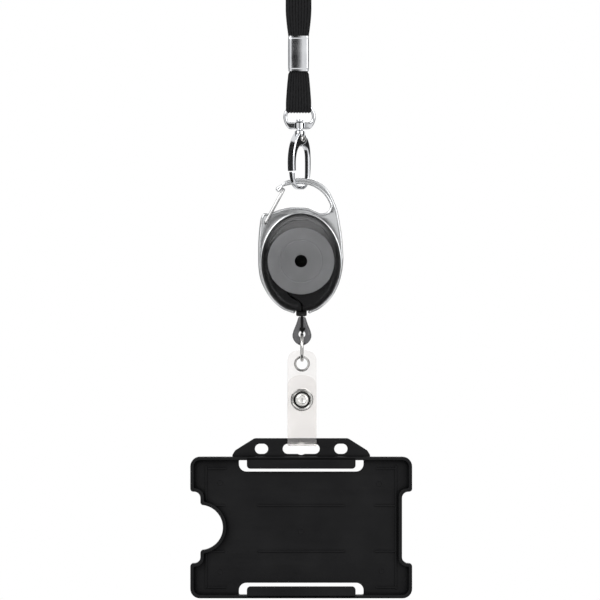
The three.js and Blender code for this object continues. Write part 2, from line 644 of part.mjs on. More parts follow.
function buildReel() {
  const part = assembly(FRAME.x, caseZ);
  const exit = rodZ(LINE.radius + GAP, -CASE.halfHeight - 2, -14, DROP.x, -LINE.depth, 12);
  add(part, 'case_front', cut(caseHalf(-1), exit), ...SMOKE);
  add(part, 'case_rear', caseHalf(1), ...SMOKE);

  const roof = CASE.depth / 2 - CASE.wall - SNUG;
  add(part, 'hub_axle', turnedY([
    [0, -roof],
    [AXLE.radius, -roof],
    [AXLE.radius, roof - AXLE.head],
    [AXLE.headRadius, roof - AXLE.head],
    [AXLE.headRadius, roof],
    [0, roof],
  ], 24), ...BLACK_PLASTIC);

  const bore = AXLE.radius + GAP;
  const front = -DRUM.front;
  const grooveFront = front + DRUM.flange;
  const grooveBack = grooveFront + DRUM.width;
  const back = grooveBack + DRUM.flange;
  const drum = turnedY([
    [bore, front],
    [DRUM.radius, front],
    [DRUM.radius, grooveFront],
    [DRUM.coreRadius, grooveFront],
    [DRUM.coreRadius, grooveBack],
    [DRUM.radius, grooveBack],
    [DRUM.radius, back],
    [bore, back],
    [bore, front],
  ], 36);
  add(part, 'cord_spool', drum, ...GREY_PLASTIC);

  const wound = [LINE.woundRadius, DRUM.coreRadius + SNUG];
  add(part, 'cord_winding', turnedY([
    [wound[1], grooveFront + SNUG],
    [wound[0] - 0.4, grooveFront + SNUG],
    [wound[0], (grooveFront + grooveBack) / 2],
    [wound[0] - 0.4, grooveBack - SNUG],
    [wound[1], grooveBack - SNUG],
    [wound[1], grooveFront + SNUG],
  ], 32), ...BLACK_CORD);

  const turns = SPRING.turns * 14;
  const spiral = Array.from({ length: turns + 1 }, (_, i) => {
    const radius = SPRING.inner + ((SPRING.outer - SPRING.inner) * i) / turns;
    const angle = (2 * Math.PI * i) / 14;
    return [radius * Math.cos(angle), radius * Math.sin(angle)];
  });
  const springFrom = back + GAP + SNUG;
  const coil = slabY(band(spiral, SPRING.thick), springFrom, springFrom + SPRING.width);
  add(part, 'power_spring', coil, ...STEEL);

  const lineY = (grooveFront + grooveBack) / 2;
  const leadTop = -CASE.halfHeight + 0.2;
  const start = 214;
  const leadRadius = LINE.woundRadius + LINE.radius + SNUG;
  const lead = [
    ...arc(0, 0, leadRadius, start, start + 24, 3).map(([x, z]) => [x, lineY, z]),
    [-4.4, lineY * 0.92, -14.2],
    [-1.2, -LINE.depth * 1.2, -16.2],
    [DROP.x - 0.1, -LINE.depth, -17.6],
    [DROP.x, -LINE.depth, leadTop],
  ];
  add(part, 'cord_lead', tube(lead, LINE.radius, 16, 8), ...BLACK_CORD);

  const guide = assembly(DROP.x / 2, guideTop);
  const block = slabZ(roundedRect(GUIDE.width, GUIDE.depth, 0.8), -GUIDE.height, 0, 0.3);
  const bore2 = rodZ(GUIDE.bore, -GUIDE.height - 1, 1, DROP.x / 2, -LINE.depth, 12);
  add(guide, 'cord_guide', cut(block, bore2), ...BLACK_PLASTIC);
}

// ---------------------------------------------------------------- pull cord, end fitting and ring

function buildCordEnd() {
  const part = assembly(DROP.x, dropTop);
  const h = DROP.height;
  const wide = h - DROP.widestUp;
  const outline = mirrored([
    [0.9, -h],
    [2.1, -h + 0.5],
    [3.1, -h + 1.4],
    [3.75, -h + 2.7],
    [DROP.half, -wide],
    [3.75, -wide + 1.5],
    [3.2, -wide + 3],
    [2.55, -wide + 4.7],
    [DROP.topHalf + 0.2, -1.2],
    [DROP.topHalf, -0.5],
    [DROP.topHalf - 0.5, 0],
  ]);
  const blank = slabY(polygon(outline), -DROP.thick / 2, DROP.thick / 2, 0.3);
  const holeZ = -h + DROP.holeUp;
  const hole = rodY(DROP.hole, -4, 4, 0, holeZ, 20);
  const grooveHalf = LINE.radius + GAP;
  const groove = slabZ(
    roundedRect(2 * grooveHalf, 2.4, 0.5, 0, -LINE.depth - 1.2 + grooveHalf),
    holeZ,
    2,
  );
  add(part, 'cord_end_fitting', cut(blank, hole, groove), ...BLACK_PLASTIC);

  const top = guideTop + 0.1 - dropTop;
  const knotTop = holeZ + DROP.hole - 0.2;
  add(part, 'pull_cord', rodZ(LINE.radius, knotTop, top, 0, -LINE.depth, 8), ...BLACK_CORD);

  const knotY = -DROP.thick / 2 - GAP - KNOT.radius;
  const knotZ = holeZ + KNOT.above;
  const knot = join(
    new THREE.SphereGeometry(KNOT.radius, 8, 6).translate(-0.4, knotY, knotZ + 0.3),
    new THREE.SphereGeometry(KNOT.radius, 8, 6).translate(0.4, knotY, knotZ - 0.2),
  );
  add(part, 'cord_knot', knot, ...BLACK_CORD);
}

function buildRing() {
  const part = assembly(DROP.x, ringZ);
  const section = arc(RING.radius, 0, RING.wire, 0, 360, 8);
  section[section.length - 1] = section[0];
  const torus = new THREE.LatheGeometry(section.map(([r, h]) => v2(r, h)), 36).rotateZ(Math.PI / 2);
  add(part, 'link_ring', torus, ...NICKEL);
}

// ---------------------------------------------------------------- vinyl strap with eyelet and snap

function buildStrap() {
  const part = assembly(DROP.x, 0);
  const foldRadius = Math.hypot(TAB.thick / 2, SLOT.barHeight / 2) + 0.15 + STRAP.thick / 2;
  const half = STRAP.width / 2;
  const hinge = 12;
  const rear = [
    [0, strapTop],
    [0, snapZ + 11],
    [STRAP.legOffset * 0.25, snapZ + 8.6],
    [STRAP.legOffset * 0.9, snapZ + 5.2],
    [STRAP.legOffset, snapZ + 4],
    [STRAP.legOffset, snapZ - 5],
    ...arc(0, tabBarZ, foldRadius, 0, -180 + hinge, 12),
  ];
  const outline = roundedRect(STRAP.width, strapTop - tabBarZ + 30, STRAP.topCorner, 0, (strapTop + tabBarZ - 30) / 2);
  const leg = common(slabX(band(rear, STRAP.thick), -half, half), slabY(outline, -5, 5, 0, 5));
  const eyeletHole = rodY(STRAP.hole + EYELET.wall + SNUG, -3, 3, 0, eyeletZ, 20);
  const snapHole = rodY(SNAP.hole + SNUG, -5, 5, 0, snapZ, 20);
  add(part, 'strap_rear_leg', cut(leg, eyeletHole, snapHole), ...VINYL);

  const flapLine = [
    ...arc(0, tabBarZ, foldRadius, -183, -186, 1),
    [-STRAP.legOffset, snapZ - 5],
    [-STRAP.legOffset, snapZ + 4],
    [-STRAP.legOffset * 0.9, flapTop],
  ];
  const low = tabBarZ - 20;
  const flapOutline = roundedRect(STRAP.width, flapTop - low, 4.6, 0, (flapTop + low) / 2);
  const flap = common(slabX(band(flapLine, STRAP.thick), -half, half), slabY(flapOutline, -6, 3, 0, 6));
  add(part, 'strap_front_flap', cut(flap, snapHole), ...VINYL);

  const e = EYELET;
  const barrel = [STRAP.hole, STRAP.hole + e.wall];
  add(part, 'strap_eyelet', turnedY([
    [barrel[0], -e.thick / 2 + 0.2],
    [barrel[0] + 0.2, -e.thick / 2],
    [e.outer - 0.15, -STRAP.thick / 2 - SNUG - 0.15],
    [e.outer, -STRAP.thick / 2 - SNUG],
    [barrel[1], -STRAP.thick / 2 - SNUG],
    [barrel[1], STRAP.thick / 2 + SNUG],
    [e.outer, STRAP.thick / 2 + SNUG],
    [e.outer - 0.15, STRAP.thick / 2 + SNUG + 0.15],
    [barrel[0] + 0.2, e.thick / 2],
    [barrel[0], e.thick / 2 - 0.2],
    [barrel[0], -e.thick / 2 + 0.2],
  ], 24).translate(0, 0, eyeletZ), ...NICKEL);

  const face = STRAP.legOffset + STRAP.thick / 2 + SNUG;
  const inside = STRAP.legOffset - STRAP.thick / 2 - SNUG;
  add(part, 'snap_cap', turnedY([
    [0, -face - 0.35],
    [1.1, -face - 0.5],
    [1.85, -face - 0.35],
    [2.3, -face - 0.25],
    [2.9, -face - 0.35],
    [3.4, -face - SNAP.cap + 0.15],
    [4.1, -face - SNAP.cap],
    [SNAP.outer, -face - 0.35],
    [SNAP.outer, -face],
    [SNAP.hole, -face],
    [SNAP.hole, -inside - 0.1],
    [0, -inside - 0.1],
  ], 28).translate(0, 0, snapZ), ...NICKEL);
  add(part, 'snap_socket', turnedY([
    [SNAP.cavity, -inside],
    [SNAP.socket, -inside],
    [SNAP.socket, -inside + 0.5],
    [SNAP.socket - 0.8, 0.1],
    [SNAP.cavity + 0.1, 0.25],
    [SNAP.cavity, -inside],
  ], 24).translate(0, 0, snapZ), ...NICKEL);
  add(part, 'snap_stud', turnedY([
    [0, -inside + 0.35],
    [SNAP.stud - 0.3, -inside + 0.35],
    [SNAP.stud, -inside + 0.7],
    [SNAP.stud - 0.25, inside - SNAP.base],
    [SNAP.socket, inside - SNAP.base],
    [SNAP.socket, inside],
    [0, inside],
  ], 24).translate(0, 0, snapZ), ...NICKEL);
  add(part, 'snap_post', turnedY([
    [0, inside + SNUG / 2],
    [SNAP.hole - 0.2, inside + SNUG / 2],
    [SNAP.hole - 0.2, face],
    [SNAP.outer, face],
    [SNAP.outer, face + 0.3],
    [SNAP.outer - 1, face + SNAP.cap],
    [0, face + SNAP.cap + 0.1],
  ], 28).translate(0, 0, snapZ), ...NICKEL);
}

// ---------------------------------------------------------------- rigid card holder

function holderPlan(inset, yLow, yHigh) {
  const [w, h] = [HOLDER.width - 2 * inset, HOLDER.height - 2 * inset];
  const sheet = slabY(roundedRect(w, h, Math.max(HOLDER.corner - inset, 1)), yLow, yHigh, 0, 6);
  const sideTool = (sign, side) => {
    const reach = side.sideCut + inset;
    const centre = sign * (HOLDER.width / 2 - reach + 10);
    return slabY(roundedRect(20, 2 * (side.sideHalf + inset), side.corner + inset, centre, 0), yLow - 1, yHigh + 1, 0, 6);
  };
  const thumb = slabY(disc(THUMB.radius + inset, -THUMB.at, 0, 40), yLow - 1, yHigh + 1);
  return cut(sheet, sideTool(-1, THUMB), sideTool(1, GRIP), thumb);
}

function buildHolder() {
  const part = assembly(HOLDER.x, holderZ);
  const back = HOLDER.plateBack;
  const floor = back - HOLDER.plate;
  const front = back - HOLDER.depth;
  const top = HOLDER.height / 2;
  const tray = cut(holderPlan(0, front, back), holderPlan(HOLDER.rim, front - 1, floor));

  const t = TAB;
  const tab = slabY(
    polygon(mirrored([
      [t.baseHalf, top - 1],
      [t.baseHalf, top],
      [t.shoulderHalf + 1.2, top + t.shoulderUp * 0.35],
      [t.shoulderHalf, top + t.shoulderUp * 0.75],
      [t.shoulderHalf - 2, top + t.shoulderUp + 1],
      [t.topHalf + 2.5, top + t.height - 0.5],
      [t.topHalf, top + t.height],
    ])),
    -t.thick / 2,
    t.thick / 2,
    0.2,
  );
  const slotZ = top + t.height - SLOT.barHeight - SLOT.height / 2;
  const through = (shape) => slabY(shape, -6, 6, 0, 6);
  const slot = through(roundedRect(SLOT.width, SLOT.height, SLOT.height / 2, 0, slotZ));
  const bulge = through(disc(SLOT.bulge, 0, slotZ, 24));
  const holes = [-TAB_HOLE.at, TAB_HOLE.at].map((x) => (
    through(roundedRect(TAB_HOLE.width, TAB_HOLE.height, TAB_HOLE.height / 2, x, slotZ))
  ));

  const lips = [];
  const windows = [];
  for (const sign of [-1, 1]) {
    const windowZ = sign * (top - WINDOW.top - WINDOW.height / 2);
    windows.push(slabY(
      roundedRect(2 * WINDOW.half, WINDOW.height, WINDOW.corner, 0, windowZ),
      floor - 0.5,
      back + 2,
      0,
      4,
    ));
    const lipZ = sign * (top - LIP.reach / 2 - 0.2);
    lips.push(slabY(
      roundedRect(2 * LIP.half, LIP.reach - 0.4, LIP.corner, 0, lipZ),
      front + LIP.inset,
      front + LIP.inset + LIP.thick,
      0,
      4,
    ));
  }

  const ribTop = floor - RIB.height;
  const rib = (x, z, w, h) => slabY(roundedRect(w, h, 0.3, x, z), ribTop, floor + 0.3, 0, 2);
  const ribs = [RIB.upper, -RIB.lower].flatMap((z) => [
    rib(0, z, 2 * RIB.half, RIB.width),
    rib(-RIB.half - 6, z, 4, RIB.width),
    rib(RIB.half + 6, z, 4, RIB.width),
  ]);
  const steps = [rib(RIB.stepAt, 0, RIB.width, 2 * GRIP.sideHalf), rib(-RIB.stepAt, 19, RIB.width, 12),
    rib(-RIB.stepAt, -19, RIB.width, 12)];
  const body = cut(join(tray, tab), slot, bulge, ...holes, ...windows);
  add(part, 'card_holder', join(body, ...lips, ...ribs, ...steps), ...BLACK_PLASTIC);
}

buildLanyard();
buildEye();
buildHook();
buildFrame();
buildReel();
buildCordEnd();
buildRing();
buildStrap();
buildHolder();

export default group;
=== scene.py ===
"""Lanyard badge holder: braided lanyard, swivel snap hook, carabiner reel, vinyl snap strap and card holder."""
import logging
import math
from dataclasses import dataclass, field
from enum import Enum
from typing import Callable, Optional, Sequence

import bmesh
import bpy
from mathutils import Matrix, Vector


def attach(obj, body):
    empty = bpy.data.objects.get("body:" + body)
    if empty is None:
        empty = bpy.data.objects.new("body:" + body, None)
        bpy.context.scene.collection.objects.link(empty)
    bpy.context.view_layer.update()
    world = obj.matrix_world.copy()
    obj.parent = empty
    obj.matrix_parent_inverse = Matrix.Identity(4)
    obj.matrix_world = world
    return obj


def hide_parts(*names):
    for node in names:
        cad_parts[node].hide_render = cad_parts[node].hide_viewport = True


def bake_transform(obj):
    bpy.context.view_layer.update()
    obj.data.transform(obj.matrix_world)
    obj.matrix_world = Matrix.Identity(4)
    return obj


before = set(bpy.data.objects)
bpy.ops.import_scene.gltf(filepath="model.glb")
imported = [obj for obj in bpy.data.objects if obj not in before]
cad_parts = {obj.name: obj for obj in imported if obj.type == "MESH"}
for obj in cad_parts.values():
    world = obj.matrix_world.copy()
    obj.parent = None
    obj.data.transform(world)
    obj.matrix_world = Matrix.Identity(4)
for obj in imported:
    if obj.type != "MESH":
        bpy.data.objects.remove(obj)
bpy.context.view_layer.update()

MM = 0.001
Point = tuple[float, float]
Place = tuple[float, float, float]
log = logging.getLogger("badge_holder")


class Axis(Enum):
    """The line a turned piece is turned about."""

    UPRIGHT = "Z"
    FRONT_TO_BACK = "Y"


# ---------------------------------------------------------------- shapes in millimetres


def mesh_object(name: str, bm: bmesh.types.BMesh, crease: float = 38.0) -> bpy.types.Object:
    """Makes an object of a mesh in millimetres, smooth but for edges sharper than the crease.

    Args:
        name: The piece's name.
        bm: The mesh, which is used up.
        crease: The angle in degrees over which an edge stays sharp.

    Returns:
        The new object, in metres.
    """
    bmesh.ops.remove_doubles(bm, verts=bm.verts, dist=1e-5)
    bmesh.ops.scale(bm, vec=(MM, MM, MM), verts=bm.verts)
    bmesh.ops.recalc_face_normals(bm, faces=bm.faces)
    mesh = bpy.data.meshes.new(name)
    bm.to_mesh(mesh)
    bm.free()
    mesh.shade_smooth()
    mesh.set_sharp_from_angle(angle=math.radians(crease))
    piece = bpy.data.objects.new(name, mesh)
    bpy.context.scene.collection.objects.link(piece)
    return piece


def arc(x: float, y: float, radius: float, start: float, stop: float, steps: int) -> list[Point]:
    """Gives points along a circle from one angle to another, in degrees.

    Args:
        x: The centre's first coordinate.
        y: The centre's second coordinate.
        radius: The circle's radius.
        start: The first angle.
        stop: The last angle.
        steps: How many steps there are between them.

    Returns:
        The points, both ends among them.
    """
    angles = [math.radians(start + (stop - start) * i / steps) for i in range(steps + 1)]
    return [(x + radius * math.cos(a), y + radius * math.sin(a)) for a in angles]


def flow(points: Sequence[Sequence[float]], steps: int, closed: bool = False) -> list[tuple[float, ...]]:
    """Runs a smooth line through some points.

    Args:
        points: The points it passes through, of any size.
        steps: How many steps lie between two of them.
        closed: Whether the line comes back to its start.

    Returns:
        The points of the smooth line.
    """
    count = len(points)
    line: list[tuple[float, ...]] = []
    for i in range(count if closed else count - 1):
        take = [(i + k) % count if closed else min(max(i + k, 0), count - 1) for k in (-1, 0, 1, 2)]
        a, b, c, d = (points[k] for k in take)
        for step in range(steps):
            t = step / steps
            line.append(tuple(
                0.5 * (2 * q + (r - p) * t + (2 * p - 5 * q + 4 * r - s) * t * t
                       + (3 * q - p - 3 * r + s) * t ** 3)
                for p, q, r, s in zip(a, b, c, d)
            ))
    if not closed:
        line.append(tuple(points[-1]))
    return line


def mirrored(right: Sequence[Point]) -> list[Point]:
    """Adds the left half of an outline to its right half."""
    return list(right) + [(-x, y) for x, y in reversed(right)]


def rounded(width: float, height: float, radius: float, x: float = 0, y: float = 0, steps: int = 8) -> list[Point]:
    """Draws a rectangle with round corners.

    Args:
        width: Its width.
        height: Its height.
        radius: Its corner radius.
        x: Its centre's first coordinate.
        y: Its centre's second coordinate.
        steps: How many steps round a corner.

    Returns:
        Its outline.
    """
    w, h = width / 2 - radius, height / 2 - radius
    corners = ((w, -h, -90), (w, h, 0), (-w, h, 90), (-w, -h, 180))
    return [p for cx, cy, a in corners for p in arc(x + cx, y + cy, radius, a, a + 90, steps)]


def filleted(corners: Sequence[tuple[float, float, float]], steps: int = 6) -> list[Point]:
    """Rounds each corner of an outline by its own radius.

    Args:
        corners: Each corner's two coordinates and its radius.
        steps: How many steps round a corner.

    Returns:
        The outline.
    """
    line: list[Point] = []
    count = len(corners)
    for i, (x, y, radius) in enumerate(corners):
        here = Vector((x, y))
        to_a = Vector(corners[i - 1][:2]) - here
        to_b = Vector(corners[(i + 1) % count][:2]) - here
        half = to_a.angle(to_b, math.pi) / 2
        if radius < 1e-3 or half > 1.55:
            line.append((x, y))
            continue
        near_a, near_b = corners[i - 1][2], corners[(i + 1) % count][2]
        reach = 0.98 * min(radius / math.tan(half), to_a.length * radius / (radius + near_a),
                           to_b.length * radius / (radius + near_b))
        pull = math.sin(half)
        a, b = here + to_a.normalized() * reach, here + to_b.normalized() * reach
        for step in range(steps + 1):
            t = step / steps
            ends, middle = (1 - t) ** 2 + t * t, 2 * t * (1 - t) * pull
            spot = (a * (1 - t) ** 2 + here * middle + b * t * t) / (ends + middle)
            line.append((spot.x, spot.y))
    return line


def inset(outline: Sequence[Point], by: float) -> list[Point]:
    """Moves an outline's points inward along its normals.

    Args:
        outline: The outline, in either direction.
        by: How far inward, or outward where it is negative.

    Returns:
        The moved outline.
    """
    count = len(outline)
    area = sum(
        outline[i][0] * outline[(i + 1) % count][1] - outline[(i + 1) % count][0] * outline[i][1]
        for i in range(count)
    )
    side = by if area > 0 else -by
    moved = []
    for i, (x, y) in enumerate(outline):
        along = Vector(outline[(i + 1) % count]) - Vector(outline[i - 1])
        if along.length < 1e-9:
            continue
        along.normalize()
        moved.append((x - along.y * side, y + along.x * side))
    return moved


def evened(outline: Sequence[Point], gap: float) -> list[Point]:
    """Adds points along an outline so that none are further apart than a gap.

    Args:
        outline: The outline.
        gap: The largest distance between two points.

    Returns:
        The finer outline.
    """
    fine: list[Point] = []
    for i, (x, y) in enumerate(outline):
        nx, ny = outline[(i + 1) % len(outline)]
        steps = max(1, math.ceil(math.dist((x, y), (nx, ny)) / gap))
        fine += [(x + (nx - x) * k / steps, y + (ny - y) * k / steps) for k in range(steps)]
    return fine


def plate(
    outline: Sequence[Point],
    low: float,
    high: float,
    soft: float = 0.2,
    holes: Sequence[Sequence[Point]] = (),
    rounds: int = 2,
) -> bmesh.types.BMesh:
    """Fills an outline in X and Z and gives it thickness along Y, with rounded edges.

    Args:
        outline: The outer outline.
        low: The front face's depth.
        high: The back face's depth.
        soft: The radius of the rounded edges.
        holes: The outlines of its holes.
        rounds: How finely the edges are rounded.

    Returns:
        The mesh in millimetres.
    """
    curve = bpy.data.curves.new("outline", "CURVE")
    curve.dimensions = "2D"
    curve.fill_mode = "BOTH"
    curve.extrude = max((high - low) / 2 - soft, 1e-4)
    curve.bevel_depth = soft
    curve.bevel_resolution = rounds
    curve.offset = -soft
    for ring in [outline, *holes]:
        spline = curve.splines.new("POLY")
        spline.points.add(len(ring) - 1)
        for knot, (x, y) in zip(spline.points, ring):
            knot.co = (x, y, 0, 1)
        spline.use_cyclic_u = True
    holder = bpy.data.objects.new("outline", curve)
    bpy.context.scene.collection.objects.link(holder)
    filled = bpy.data.meshes.new_from_object(holder.evaluated_get(bpy.context.evaluated_depsgraph_get()))
    bm = bmesh.new()
    bm.from_mesh(filled)
    bpy.data.objects.remove(holder)
    bpy.data.curves.remove(curve)
    bpy.data.meshes.remove(filled)
    bmesh.ops.transform(bm, matrix=Matrix.Rotation(math.pi / 2, 4, "X"), verts=bm.verts)
    bmesh.ops.translate(bm, vec=(0, (low + high) / 2, 0), verts=bm.verts)
    bmesh.ops.remove_doubles(bm, verts=bm.verts, dist=1e-4)
    return bm


def skin(rings: Sequence[Sequence[Place]], closed: bool = False) -> bmesh.types.BMesh:
    """Joins rings of points into one surface, with faces over the ends of an open run.

    Args:
        rings: The rings, each with as many points as the next.
        closed: Whether the last ring joins the first.

    Returns:
        The mesh in millimetres, with a map of the ring's way round and the run's way along.
    """
    bm = bmesh.new()
    layer = bm.loops.layers.uv.new("map")
    made = [[bm.verts.new(p) for p in ring] for ring in rings]
    around = len(rings[0])
    reach = [0.0]
    for i in range(1, len(rings) + 1):
        here, before = rings[i % len(rings)], rings[i - 1]
        reach.append(reach[-1] + (Vector(here[0]) - Vector(before[0])).length)
    for i in range(len(rings) if closed else len(rings) - 1):
        for j in range(around):
            a, b = made[i], made[(i + 1) % len(rings)]
            face = bm.faces.new((a[j], a[(j + 1) % around], b[(j + 1) % around], b[j]))
            spots = ((j, i), (j + 1, i), (j + 1, i + 1), (j, i + 1))
            for loop, (u, v) in zip(face.loops, spots):
                loop[layer].uv = (u / around, reach[v] / 10)
    if not closed:
        bm.faces.new(made[0])
        bm.faces.new(list(reversed(made[-1])))
    return bm


def turned(
    profile: Sequence[Point],
    axis: Axis = Axis.FRONT_TO_BACK,
    at: Place = (0, 0, 0),
    segments: int = 64,
    tall: float = 1.0,
) -> bmesh.types.BMesh:
    """Turns a profile of radius and height about an axis.

    Args:
        profile: The radius and the height along the axis of each point.
        axis: The axis.
        at: Where the axis stands.
        segments: How many steps round.
        tall: How much the round is stretched upward, for an oval.

    Returns:
        The mesh in millimetres.
    """
    rings = []
    for i in range(segments):
        turn = 2 * math.pi * i / segments
        c, s = math.cos(turn), math.sin(turn)
        if axis is Axis.UPRIGHT:
            ring = [(r * c + at[0], r * s + at[1], h + at[2]) for r, h in profile]
        else:
            ring = [(r * c + at[0], h + at[1], r * s * tall + at[2]) for r, h in profile]
        rings.append(ring)
    bm = bmesh.new()
    made = [[bm.verts.new(p) for p in ring] for ring in rings]
    for i in range(segments):
        a, b = made[i], made[(i + 1) % segments]
        for j in range(len(profile) - 1):
            bm.faces.new((a[j], a[j + 1], b[j + 1], b[j]))
    bmesh.ops.remove_doubles(bm, verts=bm.verts, dist=1e-4)
    bmesh.ops.dissolve_degenerate(bm, edges=bm.edges, dist=1e-5)
    return bm


def wire(
    path: Sequence[Sequence[float]],
    radius: float,
    sides: int = 12,
    closed: bool = False,
    flat: float = 1.0,
    across: Place = (0, 1, 0),
) -> bmesh.types.BMesh:
    """Bends a round or oval rod along a path.

    Args:
        path: The path's points.
        radius: The rod's radius.
        sides: How many sides its section has.
        closed: Whether the path comes back to its start.
        flat: The section's size along the across direction, against its radius.
        across: A direction that the section keeps to.

    Returns:
        The mesh in millimetres.
    """
    count = len(path)
    rings = []
    for i in range(count):
        before = Vector(path[i - 1] if closed or i else path[0])
        after = Vector(path[(i + 1) % count] if closed or i < count - 1 else path[-1])
        along = (after - before).normalized()
        side = Vector(across) - along * along.dot(Vector(across))
        side = side.normalized() if side.length > 1e-6 else along.orthogonal().normalized()
        up = along.cross(side)
        here = Vector(path[i])
        ring = []
        for k in range(sides):
            turn = 2 * math.pi * k / sides
            spot = here + side * (radius * flat * math.cos(turn)) + up * (radius * math.sin(turn))
            ring.append(tuple(spot))
        rings.append(ring)
    return skin(rings, closed)


def merged(*parts: bmesh.types.BMesh) -> bmesh.types.BMesh:
    """Puts several meshes into the first one.

    Args:
        *parts: The meshes; all but the first are used up.

    Returns:
        The first mesh, with the others in it.
    """
    first = parts[0]
    for extra in parts[1:]:
        carrier = bpy.data.meshes.new("carrier")
        extra.to_mesh(carrier)
        extra.free()
        first.from_mesh(carrier)
        bpy.data.meshes.remove(carrier)
    return first


def moved(bm: bmesh.types.BMesh, to: Place, turn: float = 0.0) -> bmesh.types.BMesh:
    """Turns a mesh about the upright axis and moves it.

    Args:
        bm: The mesh.
        to: How far it moves.
        turn: How far it turns first, in degrees.

    Returns:
        The same mesh.
    """
    place = Matrix.Translation(to) @ Matrix.Rotation(math.radians(turn), 4, "Z")
    bmesh.ops.transform(bm, matrix=place, verts=bm.verts)
    return bm


def carve(piece: bpy.types.Object, *tools: bmesh.types.BMesh) -> bpy.types.Object:
    """Cuts shapes out of a piece and keeps the result as its mesh.

    Args:
        piece: The piece.
        *tools: The shapes to cut away, in millimetres.

    Returns:
        The same piece.
    """
    for tool in tools:
        cutter = mesh_object("cutter", tool)
        cut = piece.modifiers.new("cut", "BOOLEAN")
        cut.operation = "DIFFERENCE"
        cut.solver = "EXACT"
        cut.object = cutter
        mesh = bpy.data.meshes.new_from_object(piece.evaluated_get(bpy.context.evaluated_depsgraph_get()))
        piece.modifiers.clear()
        old = piece.data
        piece.data = mesh
        bpy.data.meshes.remove(old)
        bpy.data.objects.remove(cutter)
        mesh.shade_smooth()
        mesh.set_sharp_from_angle(angle=math.radians(38))
    return piece


# ---------------------------------------------------------------- finishes


@dataclass(frozen=True)
class Oval:
    """An upright oval in the front view, in metres, that a darker tone deepens towards: a tint at the case's edge, or
    painted shade along the stud cap's groove.
    """

    centre: Point
    half: Point
    start: float
    stop: float
    middle: float = 0.0


